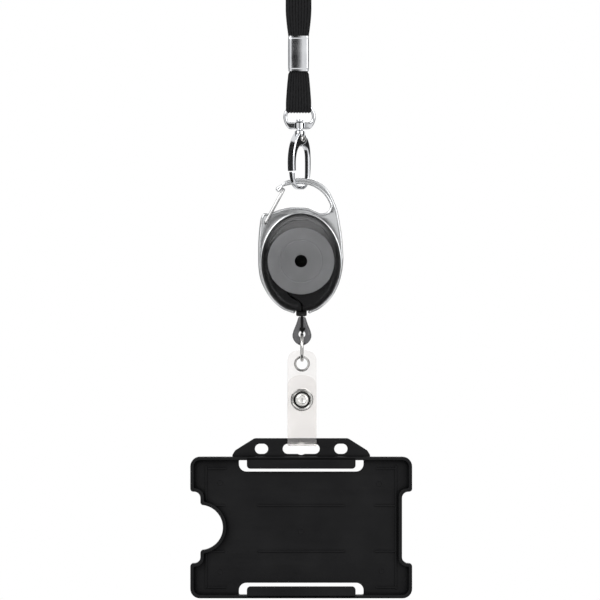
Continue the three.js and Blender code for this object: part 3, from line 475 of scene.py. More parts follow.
class Recipe:
    """A material's node tree, built up a node at a time."""

    def __init__(self, name: str) -> None:
        """Starts a material with a plain shader."""
        self.material = bpy.data.materials.new(name)
        self.material.use_nodes = True
        self.nodes = self.material.node_tree.nodes
        self.shader = self.nodes["Principled BSDF"]

    def node(self, kind: str, **values: object) -> bpy.types.Node:
        """Adds a node and sets its inputs and its own settings.

        Args:
            kind: The node's type.
            **values: Settings by name; a name that is an input's sets that input.

        Returns:
            The node.
        """
        made = self.nodes.new(kind)
        for key, value in values.items():
            label = key.replace("_", " ").title()
            if hasattr(made, key):
                setattr(made, key, value)
            else:
                made.inputs[label].default_value = value
        return made

    def join(self, source: bpy.types.NodeSocket, target: bpy.types.NodeSocket) -> None:
        """Links one socket to another."""
        self.material.node_tree.links.new(source, target)

    def set(self, **values: object) -> None:
        """Sets the shader's own sockets by name."""
        for key, value in values.items():
            self.shader.inputs[key.replace("_", " ").replace("IOR", "IOR")].default_value = value

    def noise(self, scale: float, detail: float = 3.0, stretch: Place = (1, 1, 1)) -> bpy.types.NodeSocket:
        """Adds a noise that lies in the object's own space.

        Args:
            scale: Its scale per metre.
            detail: How many finer layers it has.
            stretch: How the space is stretched first.

        Returns:
            Its grey value.
        """
        spot = self.node("ShaderNodeTexCoord")
        shift = self.node("ShaderNodeMapping")
        shift.inputs["Scale"].default_value = stretch
        grain = self.node("ShaderNodeTexNoise", scale=scale, detail=detail)
        self.join(spot.outputs["Object"], shift.inputs["Vector"])
        self.join(shift.outputs["Vector"], grain.inputs["Vector"])
        return grain.outputs["Fac"]

    def range(self, source: bpy.types.NodeSocket, low: float, high: float) -> bpy.types.NodeSocket:
        """Maps a grey value to a range.

        Args:
            source: The grey value.
            low: What its dark end becomes.
            high: What its light end becomes.

        Returns:
            The mapped value.
        """
        spread = self.node("ShaderNodeMapRange")
        spread.inputs["From Min"].default_value = 0.3
        spread.inputs["From Max"].default_value = 0.7
        spread.inputs["To Min"].default_value = low
        spread.inputs["To Max"].default_value = high
        self.join(source, spread.inputs["Value"])
        return spread.outputs["Result"]

    def tint(self, source: bpy.types.NodeSocket, dark: Place, light: Place) -> None:
        """Colours the shader between two tones by a grey value.

        Args:
            source: The grey value.
            dark: The tone at its dark end.
            light: The tone at its light end.
        """
        ramp = self.node("ShaderNodeValToRGB")
        ramp.color_ramp.elements[0].position = 0.3
        ramp.color_ramp.elements[1].position = 0.7
        ramp.color_ramp.elements[0].color = (*dark, 1)
        ramp.color_ramp.elements[1].color = (*light, 1)
        self.join(source, ramp.inputs["Fac"])
        self.join(ramp.outputs["Color"], self.shader.inputs["Base Color"])

    def shade(self, mask: bpy.types.NodeSocket, tone: Place, flip: bool = False) -> None:
        """Turns the shader's colour to another tone where a mask is dark.

        Args:
            mask: The mask, 0 to 1.
            tone: The tone where it is 0, or where it is 1 if flipped.
            flip: Whether the mask is read the other way.
        """
        base = self.shader.inputs["Base Color"].links[0].from_socket
        blend = self.node("ShaderNodeMix", data_type="RGBA")
        self.join(mask, blend.inputs["Factor"])
        own, other = (6, 7) if flip else (7, 6)
        self.join(base, blend.inputs[own])
        blend.inputs[other].default_value = (*tone, 1)
        self.join(blend.outputs[2], self.shader.inputs["Base Color"])

    def step(self, source: bpy.types.NodeSocket, low: float, high: float) -> bpy.types.NodeSocket:
        """Turns a value to 0 at one end of a range and 1 at the other.

        Args:
            source: The value.
            low: Where it is 0.
            high: Where it is 1.

        Returns:
            The mask.
        """
        spread = self.node("ShaderNodeMapRange")
        spread.inputs["From Min"].default_value = low
        spread.inputs["From Max"].default_value = high
        self.join(source, spread.inputs["Value"])
        return spread.outputs["Result"]

    def step_to(
        self, source: bpy.types.NodeSocket, low: float, high: float, least: float, most: float
    ) -> bpy.types.NodeSocket:
        """Turns one range of a value into another range.

        Args:
            source: The value.
            low: Where the result is least.
            high: Where it is most.
            least: The least result.
            most: The most.

        Returns:
            The result.
        """
        spread = self.node("ShaderNodeMapRange")
        for name, value in (("From Min", low), ("From Max", high), ("To Min", least), ("To Max", most)):
            spread.inputs[name].default_value = value
        self.join(source, spread.inputs["Value"])
        return spread.outputs["Result"]

    def depth(self, low: float, high: float) -> bpy.types.NodeSocket:
        """Masks by the distance from the middle plane, front to back.

        Args:
            low: Where the mask is 0, in metres.
            high: Where it is 1.

        Returns:
            The mask.
        """
        spot, parts = self.node("ShaderNodeTexCoord"), self.node("ShaderNodeSeparateXYZ")
        size = self.node("ShaderNodeMath", operation="ABSOLUTE")
        self.join(spot.outputs["Object"], parts.inputs["Vector"])
        self.join(parts.outputs["Y"], size.inputs[0])
        return self.step(size.outputs["Value"], low, high)

    def level(self, low: float, high: float) -> bpy.types.NodeSocket:
        """Masks by height.

        Args:
            low: Where the mask is 0, in metres.
            high: Where it is 1.

        Returns:
            The mask.
        """
        spot, parts = self.node("ShaderNodeTexCoord"), self.node("ShaderNodeSeparateXYZ")
        self.join(spot.outputs["Object"], parts.inputs["Vector"])
        return self.step(parts.outputs["Z"], low, high)

    def oval(self, area: Oval) -> bpy.types.NodeSocket:
        """Masks by the distance from an oval's centre in the front view.

        Args:
            area: The oval.

        Returns:
            0 within its start share, 1 past its stop share.
        """
        spot, shift = self.node("ShaderNodeTexCoord"), self.node("ShaderNodeMapping")
        wide, tall = 1 / area.half[0], 1 / area.half[1]
        shift.inputs["Scale"].default_value = (wide, 0, tall)
        shift.inputs["Location"].default_value = (-area.centre[0] * wide, 0, -area.centre[1] * tall)
        size = self.node("ShaderNodeVectorMath", operation="LENGTH")
        self.join(spot.outputs["Object"], shift.inputs["Vector"])
        self.join(shift.outputs["Vector"], size.inputs[0])
        away, spread = self.node("ShaderNodeMath", operation="SUBTRACT"), self.node("ShaderNodeMath", operation="ABSOLUTE")
        away.inputs[1].default_value = area.middle
        self.join(size.outputs["Value"], away.inputs[0])
        self.join(away.outputs["Value"], spread.inputs[0])
        return self.step(spread.outputs["Value"], area.start, area.stop)

    def bump(self, *layers: tuple[bpy.types.NodeSocket, float, float]) -> None:
        """Adds bumps, each on top of the one before.

        Args:
            *layers: Each bump's height, strength and depth in metres.
        """
        under: Optional[bpy.types.NodeSocket] = None
        for height, strength, depth in layers:
            press = self.node("ShaderNodeBump")
            press.inputs["Strength"].default_value = strength
            press.inputs["Distance"].default_value = depth
            self.join(height, press.inputs["Height"])
            if under is not None:
                self.join(under, press.inputs["Normal"])
            under = press.outputs["Normal"]
        self.join(under, self.shader.inputs["Normal"])


@dataclass(frozen=True)
class Braid:
    """Matt black woven braid: fine slanting plaits along each rib, darker in the grooves between ribs and lighter on
    their crests as painted shade and highlight.
    """

    name: str = "black_braid"
    dark: Place = (0.001, 0.001, 0.001)
    light: Place = (0.016, 0.016, 0.017)
    plaits: float = 62.0
    rows: float = 9.0
    rib_rate: float = 17.6

    def build(self) -> bpy.types.Material:
        """Makes the material."""
        mix = Recipe(self.name)
        uv = mix.node("ShaderNodeUVMap", uv_map="map")
        shift = mix.node("ShaderNodeMapping")
        shift.inputs["Scale"].default_value = (self.plaits, self.rows, 1)
        mix.join(uv.outputs["UV"], shift.inputs["Vector"])
        plait = mix.node("ShaderNodeTexWave", wave_type="BANDS", bands_direction="DIAGONAL", scale=0.55,
                         distortion=1.2, detail=2.0)
        plait.inputs["Detail Scale"].default_value = 1.5
        mix.join(shift.outputs["Vector"], plait.inputs["Vector"])
        fibre = mix.noise(2600, 4, (1, 1, 0.35))
        patch = mix.noise(240, 3)
        blend = mix.node("ShaderNodeMath", operation="MULTIPLY_ADD")
        mix.join(plait.outputs["Fac"], blend.inputs[0])
        blend.inputs[1].default_value = 0.4
        mix.join(fibre, blend.inputs[2])
        # Painted shade and highlight: the tone drops along the grooves between the ribs and rises on their crests, on
        # top of the plait pattern.
        side = mix.node("ShaderNodeSeparateXYZ")
        fold = mix.node("ShaderNodeMath", operation="MODULO")
        fold.inputs[1].default_value = 0.5
        crest = mix.node("ShaderNodeMath", operation="MULTIPLY")
        crest.inputs[1].default_value = self.rib_rate * 2 * math.pi
        rib_shade = mix.node("ShaderNodeMath", operation="COSINE")
        rise = mix.node("ShaderNodeMath", operation="MULTIPLY_ADD")
        rise.inputs[1].default_value = -0.22
        mix.join(uv.outputs["UV"], side.inputs["Vector"])
        mix.join(side.outputs["X"], fold.inputs[0])
        mix.join(fold.outputs["Value"], crest.inputs[0])
        mix.join(crest.outputs["Value"], rib_shade.inputs[0])
        mix.join(rib_shade.outputs["Value"], rise.inputs[0])
        mix.join(blend.outputs["Value"], rise.inputs[2])
        mix.tint(rise.outputs["Value"], self.dark, self.light)
        mix.bump((plait.outputs["Fac"], 0.7, 0.00022), (fibre, 0.5, 0.00006))
        mix.join(mix.range(patch, 0.78, 0.94), mix.shader.inputs["Roughness"])
        mix.set(Sheen_Weight=0.04, Sheen_Roughness=0.5, Specular_IOR_Level=0.06)
        return mix.material


@dataclass(frozen=True)
class Metal:
    """Bare or plated metal with fine wear in its gloss, and painted shade that darkens a recess where one is given.
    """

    name: str
    dark: Place
    light: Place
    gloss: tuple[float, float]
    grain: float
    grain_scale: float = 3500.0
    brushed: Place = (1, 1, 1)
    web_depth: float = 0.0
    web_shade_tone: float = 0.6
    # An oval band that is darkened as painted shade in a groove.
    groove: Optional[Oval] = None

    def build(self) -> bpy.types.Material:
        """Makes the material."""
        mix = Recipe(self.name)
        patch = mix.noise(180, 4)
        grain = mix.noise(self.grain_scale, 3, self.brushed)
        scratch = mix.noise(900, 2, (1, 1, 0.08))
        mix.tint(patch, self.dark, self.light)
        mix.join(mix.range(patch, *self.gloss), mix.shader.inputs["Roughness"])
        mix.bump((grain, self.grain, 0.00003), (scratch, self.grain * 0.5, 0.00003))
        mix.set(Metallic=1.0)
        # Painted shade: surfaces nearer the middle plane than the web depth, the sunk web between the raised rims,
        # take a darker share of the light tone.
        if self.web_depth:
            low = tuple(v * self.web_shade_tone for v in self.light)
            mix.shade(mix.depth(self.web_depth - 0.00005, self.web_depth + 0.0001), low)
        # Painted shade: near black along the oval band of a groove.
        if self.groove is not None:
            mix.shade(mix.oval(self.groove), (0.02, 0.02, 0.02))
        return mix.material


@dataclass(frozen=True)
class Moulded:
    """Opaque moulded plastic: a fine spark-eroded grain, soft sheen and faint handling marks, with its specular level
    lowered in corners and creases as painted shade.
    """

    name: str
    dark: Place
    light: Place
    gloss: tuple[float, float]
    grain: float = 0.35
    grain_scale: float = 2600.0
    shine: float = 0.4

    def build(self) -> bpy.types.Material:
        """Makes the material."""
        mix = Recipe(self.name)
        patch = mix.noise(60, 5)
        grain = mix.noise(self.grain_scale, 2)
        scuff = mix.noise(420, 2, (0.12, 1, 1))
        mix.tint(patch, self.dark, self.light)
        mix.join(mix.range(scuff, *self.gloss), mix.shader.inputs["Roughness"])
        mix.bump((grain, self.grain, 0.00004), (scuff, self.grain * 0.25, 0.00003))
        # Painted shade: ambient occlusion lowers the specular level in corners, creases and beside ribs.
        corner = mix.node("ShaderNodeAmbientOcclusion", samples=8)
        corner.inputs["Distance"].default_value = 0.0016
        mix.join(mix.step_to(corner.outputs["AO"], 0.35, 0.95, 0.0, self.shine), mix.shader.inputs["Specular IOR Level"])
        return mix.material


@dataclass(frozen=True)
class Clear:
    """See-through plastic: tinted, deeper where its walls are seen edge on, with faint flow marks, and lighter
    towards the top where a painted highlight is given.
    """

    name: str
    dark: Place
    light: Place
    gloss: tuple[float, float]
    clarity: float
    bend: float = 1.45
    wave: float = 0.15
    wave_scale: float = 140.0
    edge: Optional[Oval] = None
    edge_tone: Place = (0.02, 0.02, 0.02)
    # A height range above which the colour turns lighter: a painted highlight on the top.
    rise: Optional[Point] = None
    top_highlight_tone: Place = (0.2, 0.2, 0.2)

    def build(self) -> bpy.types.Material:
        """Makes the material."""
        mix = Recipe(self.name)
        patch = mix.noise(self.wave_scale, 3)
        mix.tint(patch, self.dark, self.light)
        mix.join(mix.range(patch, *self.gloss), mix.shader.inputs["Roughness"])
        mix.bump((patch, self.wave, 0.0002))
        mix.set(Transmission_Weight=self.clarity, IOR=self.bend)
        if self.edge is not None:
            mix.shade(mix.oval(self.edge), self.edge_tone, flip=True)
        # Painted highlight: lighter above the given height.
        if self.rise is not None:
            mix.shade(mix.level(*self.rise), self.top_highlight_tone, flip=True)
        return mix.material


CASE_EDGE = Oval((0, -0.31125), (0.0159, 0.0200), 0.93, 0.99)
# The stud cap's ring groove, darkened as painted shade.
SNAP_GROOVE_SHADE = Oval((0.0004, -0.3674), (0.001, 0.001), 0.28, 0.42, 3.05)


@dataclass
class Finishes:
    """Every finish of the badge holder, made once."""

    braid: bpy.types.Material = field(default_factory=lambda: Braid().build())
    line: bpy.types.Material = field(default_factory=lambda: Braid(
        "fine_black_line", (0.002, 0.002, 0.002), (0.008, 0.008, 0.008), plaits=20, rows=40).build())
    chrome: bpy.types.Material = field(default_factory=lambda: Metal(
        "polished_chrome", (0.60, 0.61, 0.63), (0.72, 0.73, 0.75), (0.07, 0.14), 0.12).build())
    # The satin frame's sunk web gets painted shade.
    satin: bpy.types.Material = field(default_factory=lambda: Metal(
        "satin_die_cast", (0.66, 0.67, 0.68), (0.76, 0.77, 0.78), (0.16, 0.26), 0.45, 5200,
        web_depth=0.00098, web_shade_tone=0.72).build())
    nickel: bpy.types.Material = field(default_factory=lambda: Metal(
        "nickel_plate", (0.46, 0.455, 0.445), (0.60, 0.59, 0.575), (0.12, 0.22), 0.2).build())
    cap: bpy.types.Material = field(default_factory=lambda: Metal(
        "nickel_stud_cap", (0.72, 0.71, 0.69), (0.82, 0.81, 0.79), (0.2, 0.3), 0.3, groove=SNAP_GROOVE_SHADE).build())
    steel: bpy.types.Material = field(default_factory=lambda: Metal(
        "drawn_steel_wire", (0.42, 0.42, 0.42), (0.52, 0.52, 0.52), (0.2, 0.3), 0.4, 2400, (1, 1, 0.1)).build())
    smoke: bpy.types.Material = field(default_factory=lambda: Clear(
        "smoked_clear_plastic", (0.44, 0.44, 0.445), (0.49, 0.49, 0.495), (0.03, 0.07), 1.0, 1.1,
        edge=CASE_EDGE, edge_tone=(0.015, 0.015, 0.015)).build())
    # The rear shell is painted lighter towards its top: a painted highlight.
    dark_smoke: bpy.types.Material = field(default_factory=lambda: Clear(
        "smoked_clear_plastic_rear", (0.035, 0.035, 0.036), (0.055, 0.055, 0.056), (0.03, 0.07), 0.7, 1.2,
        rise=(-0.306, -0.296), top_highlight_tone=(0.5, 0.5, 0.5)).build())
    drop_smoke: bpy.types.Material = field(default_factory=lambda: Clear(
        "smoked_clear_fitting", (0.10, 0.10, 0.105), (0.16, 0.16, 0.165), (0.05, 0.12), 0.8, 1.3).build())
    vinyl: bpy.types.Material = field(default_factory=lambda: Clear(
        "clear_soft_vinyl", (0.91, 0.895, 0.885), (0.955, 0.94, 0.93), (0.08, 0.2), 0.92, 1.3, 0.5, 90).build())
    grey: bpy.types.Material = field(default_factory=lambda: Moulded(
        "grey_moulded_disc", (0.62, 0.625, 0.63), (0.68, 0.685, 0.69), (0.38, 0.5), 0.25).build())
    black: bpy.types.Material = field(default_factory=lambda: Moulded(
        "black_moulded_holder", (0.004, 0.004, 0.0045), (0.008, 0.008, 0.0085), (0.38, 0.52), shine=0.12).build())
    gloss_black: bpy.types.Material = field(default_factory=lambda: Moulded(
        "gloss_black_fitting", (0.006, 0.006, 0.006), (0.012, 0.012, 0.012), (0.2, 0.3), 0.15, shine=0.2).build())


@dataclass
class Assembly:
    """What every sub-assembly shares: its finishes and a way to fit each piece."""

    finish: Finishes
    made: list[str] = field(default_factory=list)

    def fit(
        self,
        name: str,
        bm: bmesh.types.BMesh,
        finish: bpy.types.Material,
        body: str,
        stands_for: Sequence[str],
        slot: str,
        crease: float = 38.0,
    ) -> bpy.types.Object:
        """Makes a piece, dresses it and lets it ride.

        Args:
            name: The piece's name.
            bm: Its mesh in millimetres.
            finish: Its material.
            body: The body it moves with.
            stands_for: The plain solids it replaces.
            slot: The name of a material slot; not used.
            crease: The angle over which its edges stay sharp.

        Returns:
            The piece.
        """
        piece = mesh_object(name, bm, crease)
        return self.settle(piece, finish, body, stands_for, slot)

    def settle(
        self,
        piece: bpy.types.Object,
        finish: bpy.types.Material,
        body: Optional[str],
        stands_for: Sequence[str],
        slot: str,
    ) -> bpy.types.Object:
        """Dresses a finished piece and lets it ride.

        Args:
            piece: The piece.
            finish: Its material.
            body: The body it moves with, or None where it is attached to none.
            stands_for: The plain solids it replaces.
            slot: The name of a material slot; not used.

        Returns:
            The piece.
        """
        piece.data.materials.clear()
        piece.data.materials.append(finish)
        if body is not None:
            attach(piece, body)
        if stands_for:
            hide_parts(*stands_for)
        self.made.append(piece.name)
        log.info("%s rides on %s", piece.name, body or "two bodies")
        return piece

    def dress(self, node: str, finish: bpy.types.Material) -> None:
        """Gives a plain solid that stays a better finish."""
        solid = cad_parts[node]
        solid.data.materials.clear()
        solid.data.materials.append(finish)
        self.made.append(node)
        log.info("%s dressed", node)


# ---------------------------------------------------------------- studio


@dataclass
class Studio:
    """The camera, the white surround and the lights."""

    aim: Place = (-0.0004, 0.0, -0.3265)
    distance: float = 1.5
    seen_width: float = 0.2465
    floor_height: float = -1.25

    def place_camera(self) -> None:
        """Sets the camera square on to the front."""
        data = bpy.data.cameras.new("camera")
        camera = bpy.data.objects.new("camera", data)
        bpy.context.scene.collection.objects.link(camera)
        data.sensor_width = 36
        data.lens = 36 * self.distance / self.seen_width
        camera.location = (self.aim[0], -self.distance, self.aim[2])
        camera.rotation_euler = (math.pi / 2, 0, 0)
        bpy.context.scene.camera = camera

    def surround(self) -> None:
        """Makes the white surround, seen directly, in metal and through clear pieces."""
        world = bpy.data.worlds.new("surround")
        bpy.context.scene.world = world
        world.use_nodes = True
        nodes, links = world.node_tree.nodes, world.node_tree.links
        back = nodes["Background"]
        seen = nodes.new("ShaderNodeBackground")
        seen.inputs["Strength"].default_value = 1.0
        seen.inputs["Color"].default_value = (1, 1, 1, 1)
        back.inputs["Color"].default_value = (1, 1, 1, 1)
        back.inputs["Strength"].default_value = 0.75
        path = nodes.new("ShaderNodeLightPath")
        first = nodes.new("ShaderNodeMath")
        second = nodes.new("ShaderNodeMath")
        first.operation = second.operation = "MAXIMUM"
        mix = nodes.new("ShaderNodeMixShader")
        links.new(path.outputs["Is Camera Ray"], first.inputs[0])
        links.new(path.outputs["Is Glossy Ray"], first.inputs[1])
        links.new(first.outputs["Value"], second.inputs[0])
        links.new(path.outputs["Is Transmission Ray"], second.inputs[1])
        links.new(second.outputs["Value"], mix.inputs["Fac"])
        links.new(back.outputs["Background"], mix.inputs[1])
        links.new(seen.outputs["Background"], mix.inputs[2])
        links.new(mix.outputs["Shader"], nodes["World Output"].inputs["Surface"])

    def floor(self) -> None:
        """Lays a pale floor well below the hanging holder."""
        bm = bmesh.new()
        bmesh.ops.create_grid(bm, x_segments=1, y_segments=1, size=1500)
        plane = mesh_object("studio_floor", bm)
        plane.location.z = self.floor_height
        mix = Recipe("pale_floor")
        mix.set(Base_Color=(0.85, 0.85, 0.85, 1), Roughness=0.9)
        plane.data.materials.append(mix.material)

    def card(self, name: str, centre: Place, width: float, height: float, tone: float) -> None:
        """Stands a dark card facing the object, which polished metal mirrors.

        Args:
            name: The card's name.
            centre: Where it stands, in metres.
            width: Its width in metres.
            height: Its height in metres.
            tone: Its grey.
        """
        bm = bmesh.new()
        bmesh.ops.create_grid(bm, x_segments=1, y_segments=1, size=500)
        card = mesh_object(name, bm)
        card.scale = (width, height, 1)
        card.location = centre
        facing = Vector(self.aim) - Vector(centre)
        card.rotation_euler = facing.to_track_quat("Z", "Y").to_euler()
        mix = Recipe(name)
        mix.set(Base_Color=(tone, tone, tone, 1), Roughness=1.0, Specular_IOR_Level=0.0)
        card.data.materials.append(mix.material)
        card.visible_camera = False
        card.visible_diffuse = False
        card.visible_shadow = False
        card.visible_transmission = False

    def light(self, name: str, place: Place, size: float, power: float) -> None:
        """Hangs a soft square lamp aimed at the object.

        Args:
            name: The lamp's name.
            place: Where it hangs, in metres.
            size: Its side in metres.
            power: Its power in watts.
        """
        data = bpy.data.lights.new(name, "AREA")
        data.size = size
        data.energy = power
        lamp = bpy.data.objects.new(name, data)
        lamp.location = place
        lamp.rotation_euler = (Vector(self.aim) - Vector(place)).to_track_quat("-Z", "Y").to_euler()
        bpy.context.scene.collection.objects.link(lamp)

    def build(self) -> None:
        """Sets up the whole studio."""
        bpy.context.scene.view_settings.view_transform = "Standard"
        self.place_camera()
        self.surround()
        self.floor()
        self.card("dark_card_centre", (-0.185, -1.75, -0.25), 0.31, 1.6, 0.03)
        self.card("grey_card_centre", (0.02, -1.76, -0.25), 0.1, 1.6, 0.2)
        self.card("pale_card_centre", (0.11, -1.76, -0.25), 0.08, 1.6, 0.5)
        self.card("dark_card_left", (-1.9, -0.1, -0.3), 1.6, 2.4, 0.03)
        self.card("dark_card_right", (1.9, -0.1, -0.3), 1.6, 2.4, 0.03)
        self.card("dark_card_top", (0, -0.1, 1.4), 1.5, 1.3, 0.03)
        self.card("dark_card_foot", (0, -0.1, -1.2), 1.5, 0.75, 0.03)
        self.light("key_lamp", (-0.9, -1.1, 0.5), 0.9, 14)
        self.light("fill_lamp", (1.1, -0.9, 0.1), 0.9, 7)
        self.light("back_lamp", (0.2, 1.2, 0.4), 0.8, 8)


# ---------------------------------------------------------------- braided lanyard


@dataclass
class Lanyard(Assembly):
    """The flat braid: the gathered neck loop, its tie, the crimp and the short loop through the eye."""

    x: float = -1.0
    width: float = 10.6
    thick: float = 1.6
    ribs: int = 8
    hank_top: float = 0.0
    tie_z: float = -152.0
    crimp_top: float = -218.0
    crimp_height: float = 14.7
    eye_bar: float = -246.95
    eye_bar_radius: float = 0.95
    loop_width: float = 10.4
    strand: float = 0.9
    groove: float = 0.34

    def section(self, width: float, thick: float) -> list[Point]:
        """Draws the braid's flat section, ribbed on both faces.

        Args:
            width: Its width.
            thick: Its thickness.

        Returns:
            Points across the width and through the thickness.
        """
        per_rib = 5
        count = self.ribs * per_rib
        face = []
        for i in range(count + 1):
            t = i / count
            across = (t - 0.5) * (width - thick * 0.55)
            rib = 0.5 + 0.5 * math.cos(2 * math.pi * (t * self.ribs - 0.5))
            face.append((across, thick / 2 - self.groove * (1 - rib)))
        edge = thick / 2
        right = [(width / 2 - 0.12, edge * 0.45), (width / 2, 0), (width / 2 - 0.12, -edge * 0.45)]
        back = [(x, -y) for x, y in reversed(face)]
        left = [(-x, y) for x, y in reversed(right)]
        return face + right + back + left

    def ribbon(self, path: Sequence[Point], width_at: Callable[[float, float], float]) -> bmesh.types.BMesh:
        """Runs the braid along a path that lies in the Y-Z plane.

        Args:
            path: The path's depth and height.
            width_at: The braid's width at a depth and height.

        Returns:
            The mesh in millimetres.
        """
        rings = []
        for i, (y, z) in enumerate(path):
            before, after = path[max(i - 1, 0)], path[min(i + 1, len(path) - 1)]
            along = Vector((after[0] - before[0], after[1] - before[1])).normalized()
            out = Vector((-along.y, along.x))
            width = width_at(y, z)
            ring = [(self.x + a, y + out.x * n, z + out.y * n) for a, n in self.section(width, self.thick)]
            rings.append(ring)
        return skin(rings)

    def neck_route(self) -> list[Point]:
        """Gives the neck loop's route: up, over, down, round the end bight and back again.

        Returns:
            Depth and height of each point, from the crimp back to the crimp.
        """
        foot, apart = self.crimp_top, self.strand
        up_outer = [(-apart, foot - 0.6), (-apart, foot + 7), (-2.2, foot + 16), (-3.3, -178), (-2.8, self.tie_z - 9),
                    (-2.7, self.tie_z), (-2.9, self.tie_z + 7), (-5.9, self.tie_z + 18), (-7.9, -80), (-8.8, -45)]
        over_outer = arc(0, self.hank_top - 10.2, 9.2, 180, 0, 10)
        down_outer = [(8.8, -45), (7.9, -80), (5.9, self.tie_z + 18), (2.9, self.tie_z + 7), (2.7, self.tie_z),
                      (3.3, self.tie_z - 8), (8.2, self.tie_z - 22), (10.8, self.tie_z - 32)]
        bight = arc(8.4, -194.4, 3.4, 20, -200, 9)
        up_inner = [(4.6, self.tie_z - 32), (3.9, self.tie_z - 22), (1.6, self.tie_z - 8), (0.9, self.tie_z),
                    (1.0, self.tie_z + 7), (2.0, self.tie_z + 18), (3.3, -80), (4.5, -45)]
        over_inner = arc(0, self.hank_top - 17, 5.0, 0, 180, 8)
        down_inner = [(-4.5, -45), (-3.3, -80), (-2.0, self.tie_z + 18), (-1.0, self.tie_z + 7),
                      (-0.9, self.tie_z), (-0.7, self.tie_z - 9), (0.9, -178), (2.0, foot + 16),
                      (apart, foot + 7), (apart, foot - 0.6)]
        return up_outer + over_outer + down_outer + bight + up_inner + over_inner + down_inner

    def neck_width(self, _: float, z: float) -> float:
        """Narrows the braid where the crimp gathers it."""
        lift = min(max((z - self.crimp_top) / 10.0, 0.0), 1.0)
        return 8.4 + (self.width - 8.4) * lift * (1.5 - 0.5 * lift)

    def loop_across(self, _: float, z: float) -> float:
        """Widens the loop below the crimp and draws it in under the eye's bar."""
        foot = self.crimp_top - self.crimp_height
        if z > foot - 0.2:
            return 7.4
        fall = min((foot - 0.2 - z) / 12.5, 1.0)
        return 8.3 + (self.loop_width - 8.3) * fall * (1.35 - 0.35 * fall)

    def build_neck(self) -> None:
        """Makes the whole neck loop and its tie."""
        route = [(y, z) for y, z in flow(self.neck_route(), 4)]
        tie = self.build_tie()
        cord = self.fit("neck_cord", self.ribbon(route, self.neck_width), self.finish.braid, "lanyard",
                        ["lanyard_hank", "lanyard_strand_front", "lanyard_strand_back"], "cord", 60)

    def build_tie(self) -> bpy.types.Object:
        """Makes the band that holds the gathered loop.

        Returns:
            The band.
        """
        rings = []
        outline = rounded(self.width + 1.5, 9.4, 1.9, steps=8)
        for x, y in outline:
            length = math.hypot(x, y)
            out = (x / length, y / length)
            profile = [(0.0, -3), (0.75, -2.9), (0.95, -2), (0.8, -1), (0.95, 0), (0.8, 1), (0.95, 2),
                       (0.75, 2.9), (0.0, 3)]
            rings.append([(self.x + x + out[0] * r, y + out[1] * r, self.tie_z + h) for r, h in profile])
        return self.fit("hank_band", skin(rings, closed=True), self.finish.braid, "lanyard",
                        ["hank_tie"], "cord", 50)

    def build_eye_loop(self) -> None:
        """Makes the short loop through the swivel eye."""
        around = self.eye_bar_radius + 0.3 + self.thick / 2
        foot = self.crimp_top - self.crimp_height
        leg = [(-self.strand, foot + 6), (-self.strand, foot), (-self.strand - 0.05, foot - 3),
               (-around + 0.25, self.eye_bar + 4), (-around, self.eye_bar + 1.5)]
        bight = arc(0, self.eye_bar, around, 180, 360, 8)
        route = leg + bight + [(-y, z) for y, z in reversed(leg)]
        route = [(y, z) for y, z in flow(route, 3)]
        self.fit("eye_loop", self.ribbon(route, self.loop_across), self.finish.braid, "lanyard",
                 ["lanyard_eye_loop"], "cord", 60)

    def crimp_section(self, wide: float, deep: float) -> list[Point]:
        """Draws the crimp's round-cornered section, always with as many points."""
        return [(x * wide, y * deep) for x, y in self.crimp_unit()]

    def crimp_unit(self) -> list[Point]:
        """Draws the crimp's section at a width and depth of one."""
        return [(x / 8.7, y / 5.2) for x, y in evened(rounded(8.7, 5.2, 1.1, steps=7), 0.4)]

    def build_crimp(self) -> None:
        """Makes the pressed steel crimp, with its bevelled borders and hollow ends."""
        foot = self.crimp_top - self.crimp_height
        wide, deep, crown = 8.7, 5.2, 0.3
        levels = [(0.0, 0.5), (0.12, 0.2), (0.9, 0.14), (1.35, 0.0), (3.5, -0.02), (6.0, -0.04)]
        up = [(foot + h, draw) for h, draw in levels]
        up += [(foot + self.crimp_height - h, draw) for h, draw in reversed(levels)]
        rings = []
        for z, draw in up:
            ring = []
            for x, y in self.crimp_section(wide - draw, deep - draw * 2):
                fall = crown * (x / (wide / 2)) ** 2 * min(1.0, abs(y) / (deep / 2 - 1.1))
                ring.append((self.x + x, y - math.copysign(fall, y) if abs(y) > 0.5 else y, z))
            rings.append(ring)
        for z in (self.crimp_top - 0.02, foot + 0.02):
            shrink = len(rings[0])
            hollow = [(self.x + (x - self.x) * 0.84, y * 0.7, z) for x, y, _ in rings[0]]
            rings.append(hollow[:shrink])
        self.fit("crimp_sleeve", skin(rings, closed=True), self.finish.chrome, "lanyard",
                 ["crimp_ferrule"], "chrome", 12)

    def build(self) -> None:
        """Makes every piece of the lanyard."""
        self.build_neck()
        self.build_eye_loop()
        self.build_crimp()


# ---------------------------------------------------------------- swivel eye and snap hook


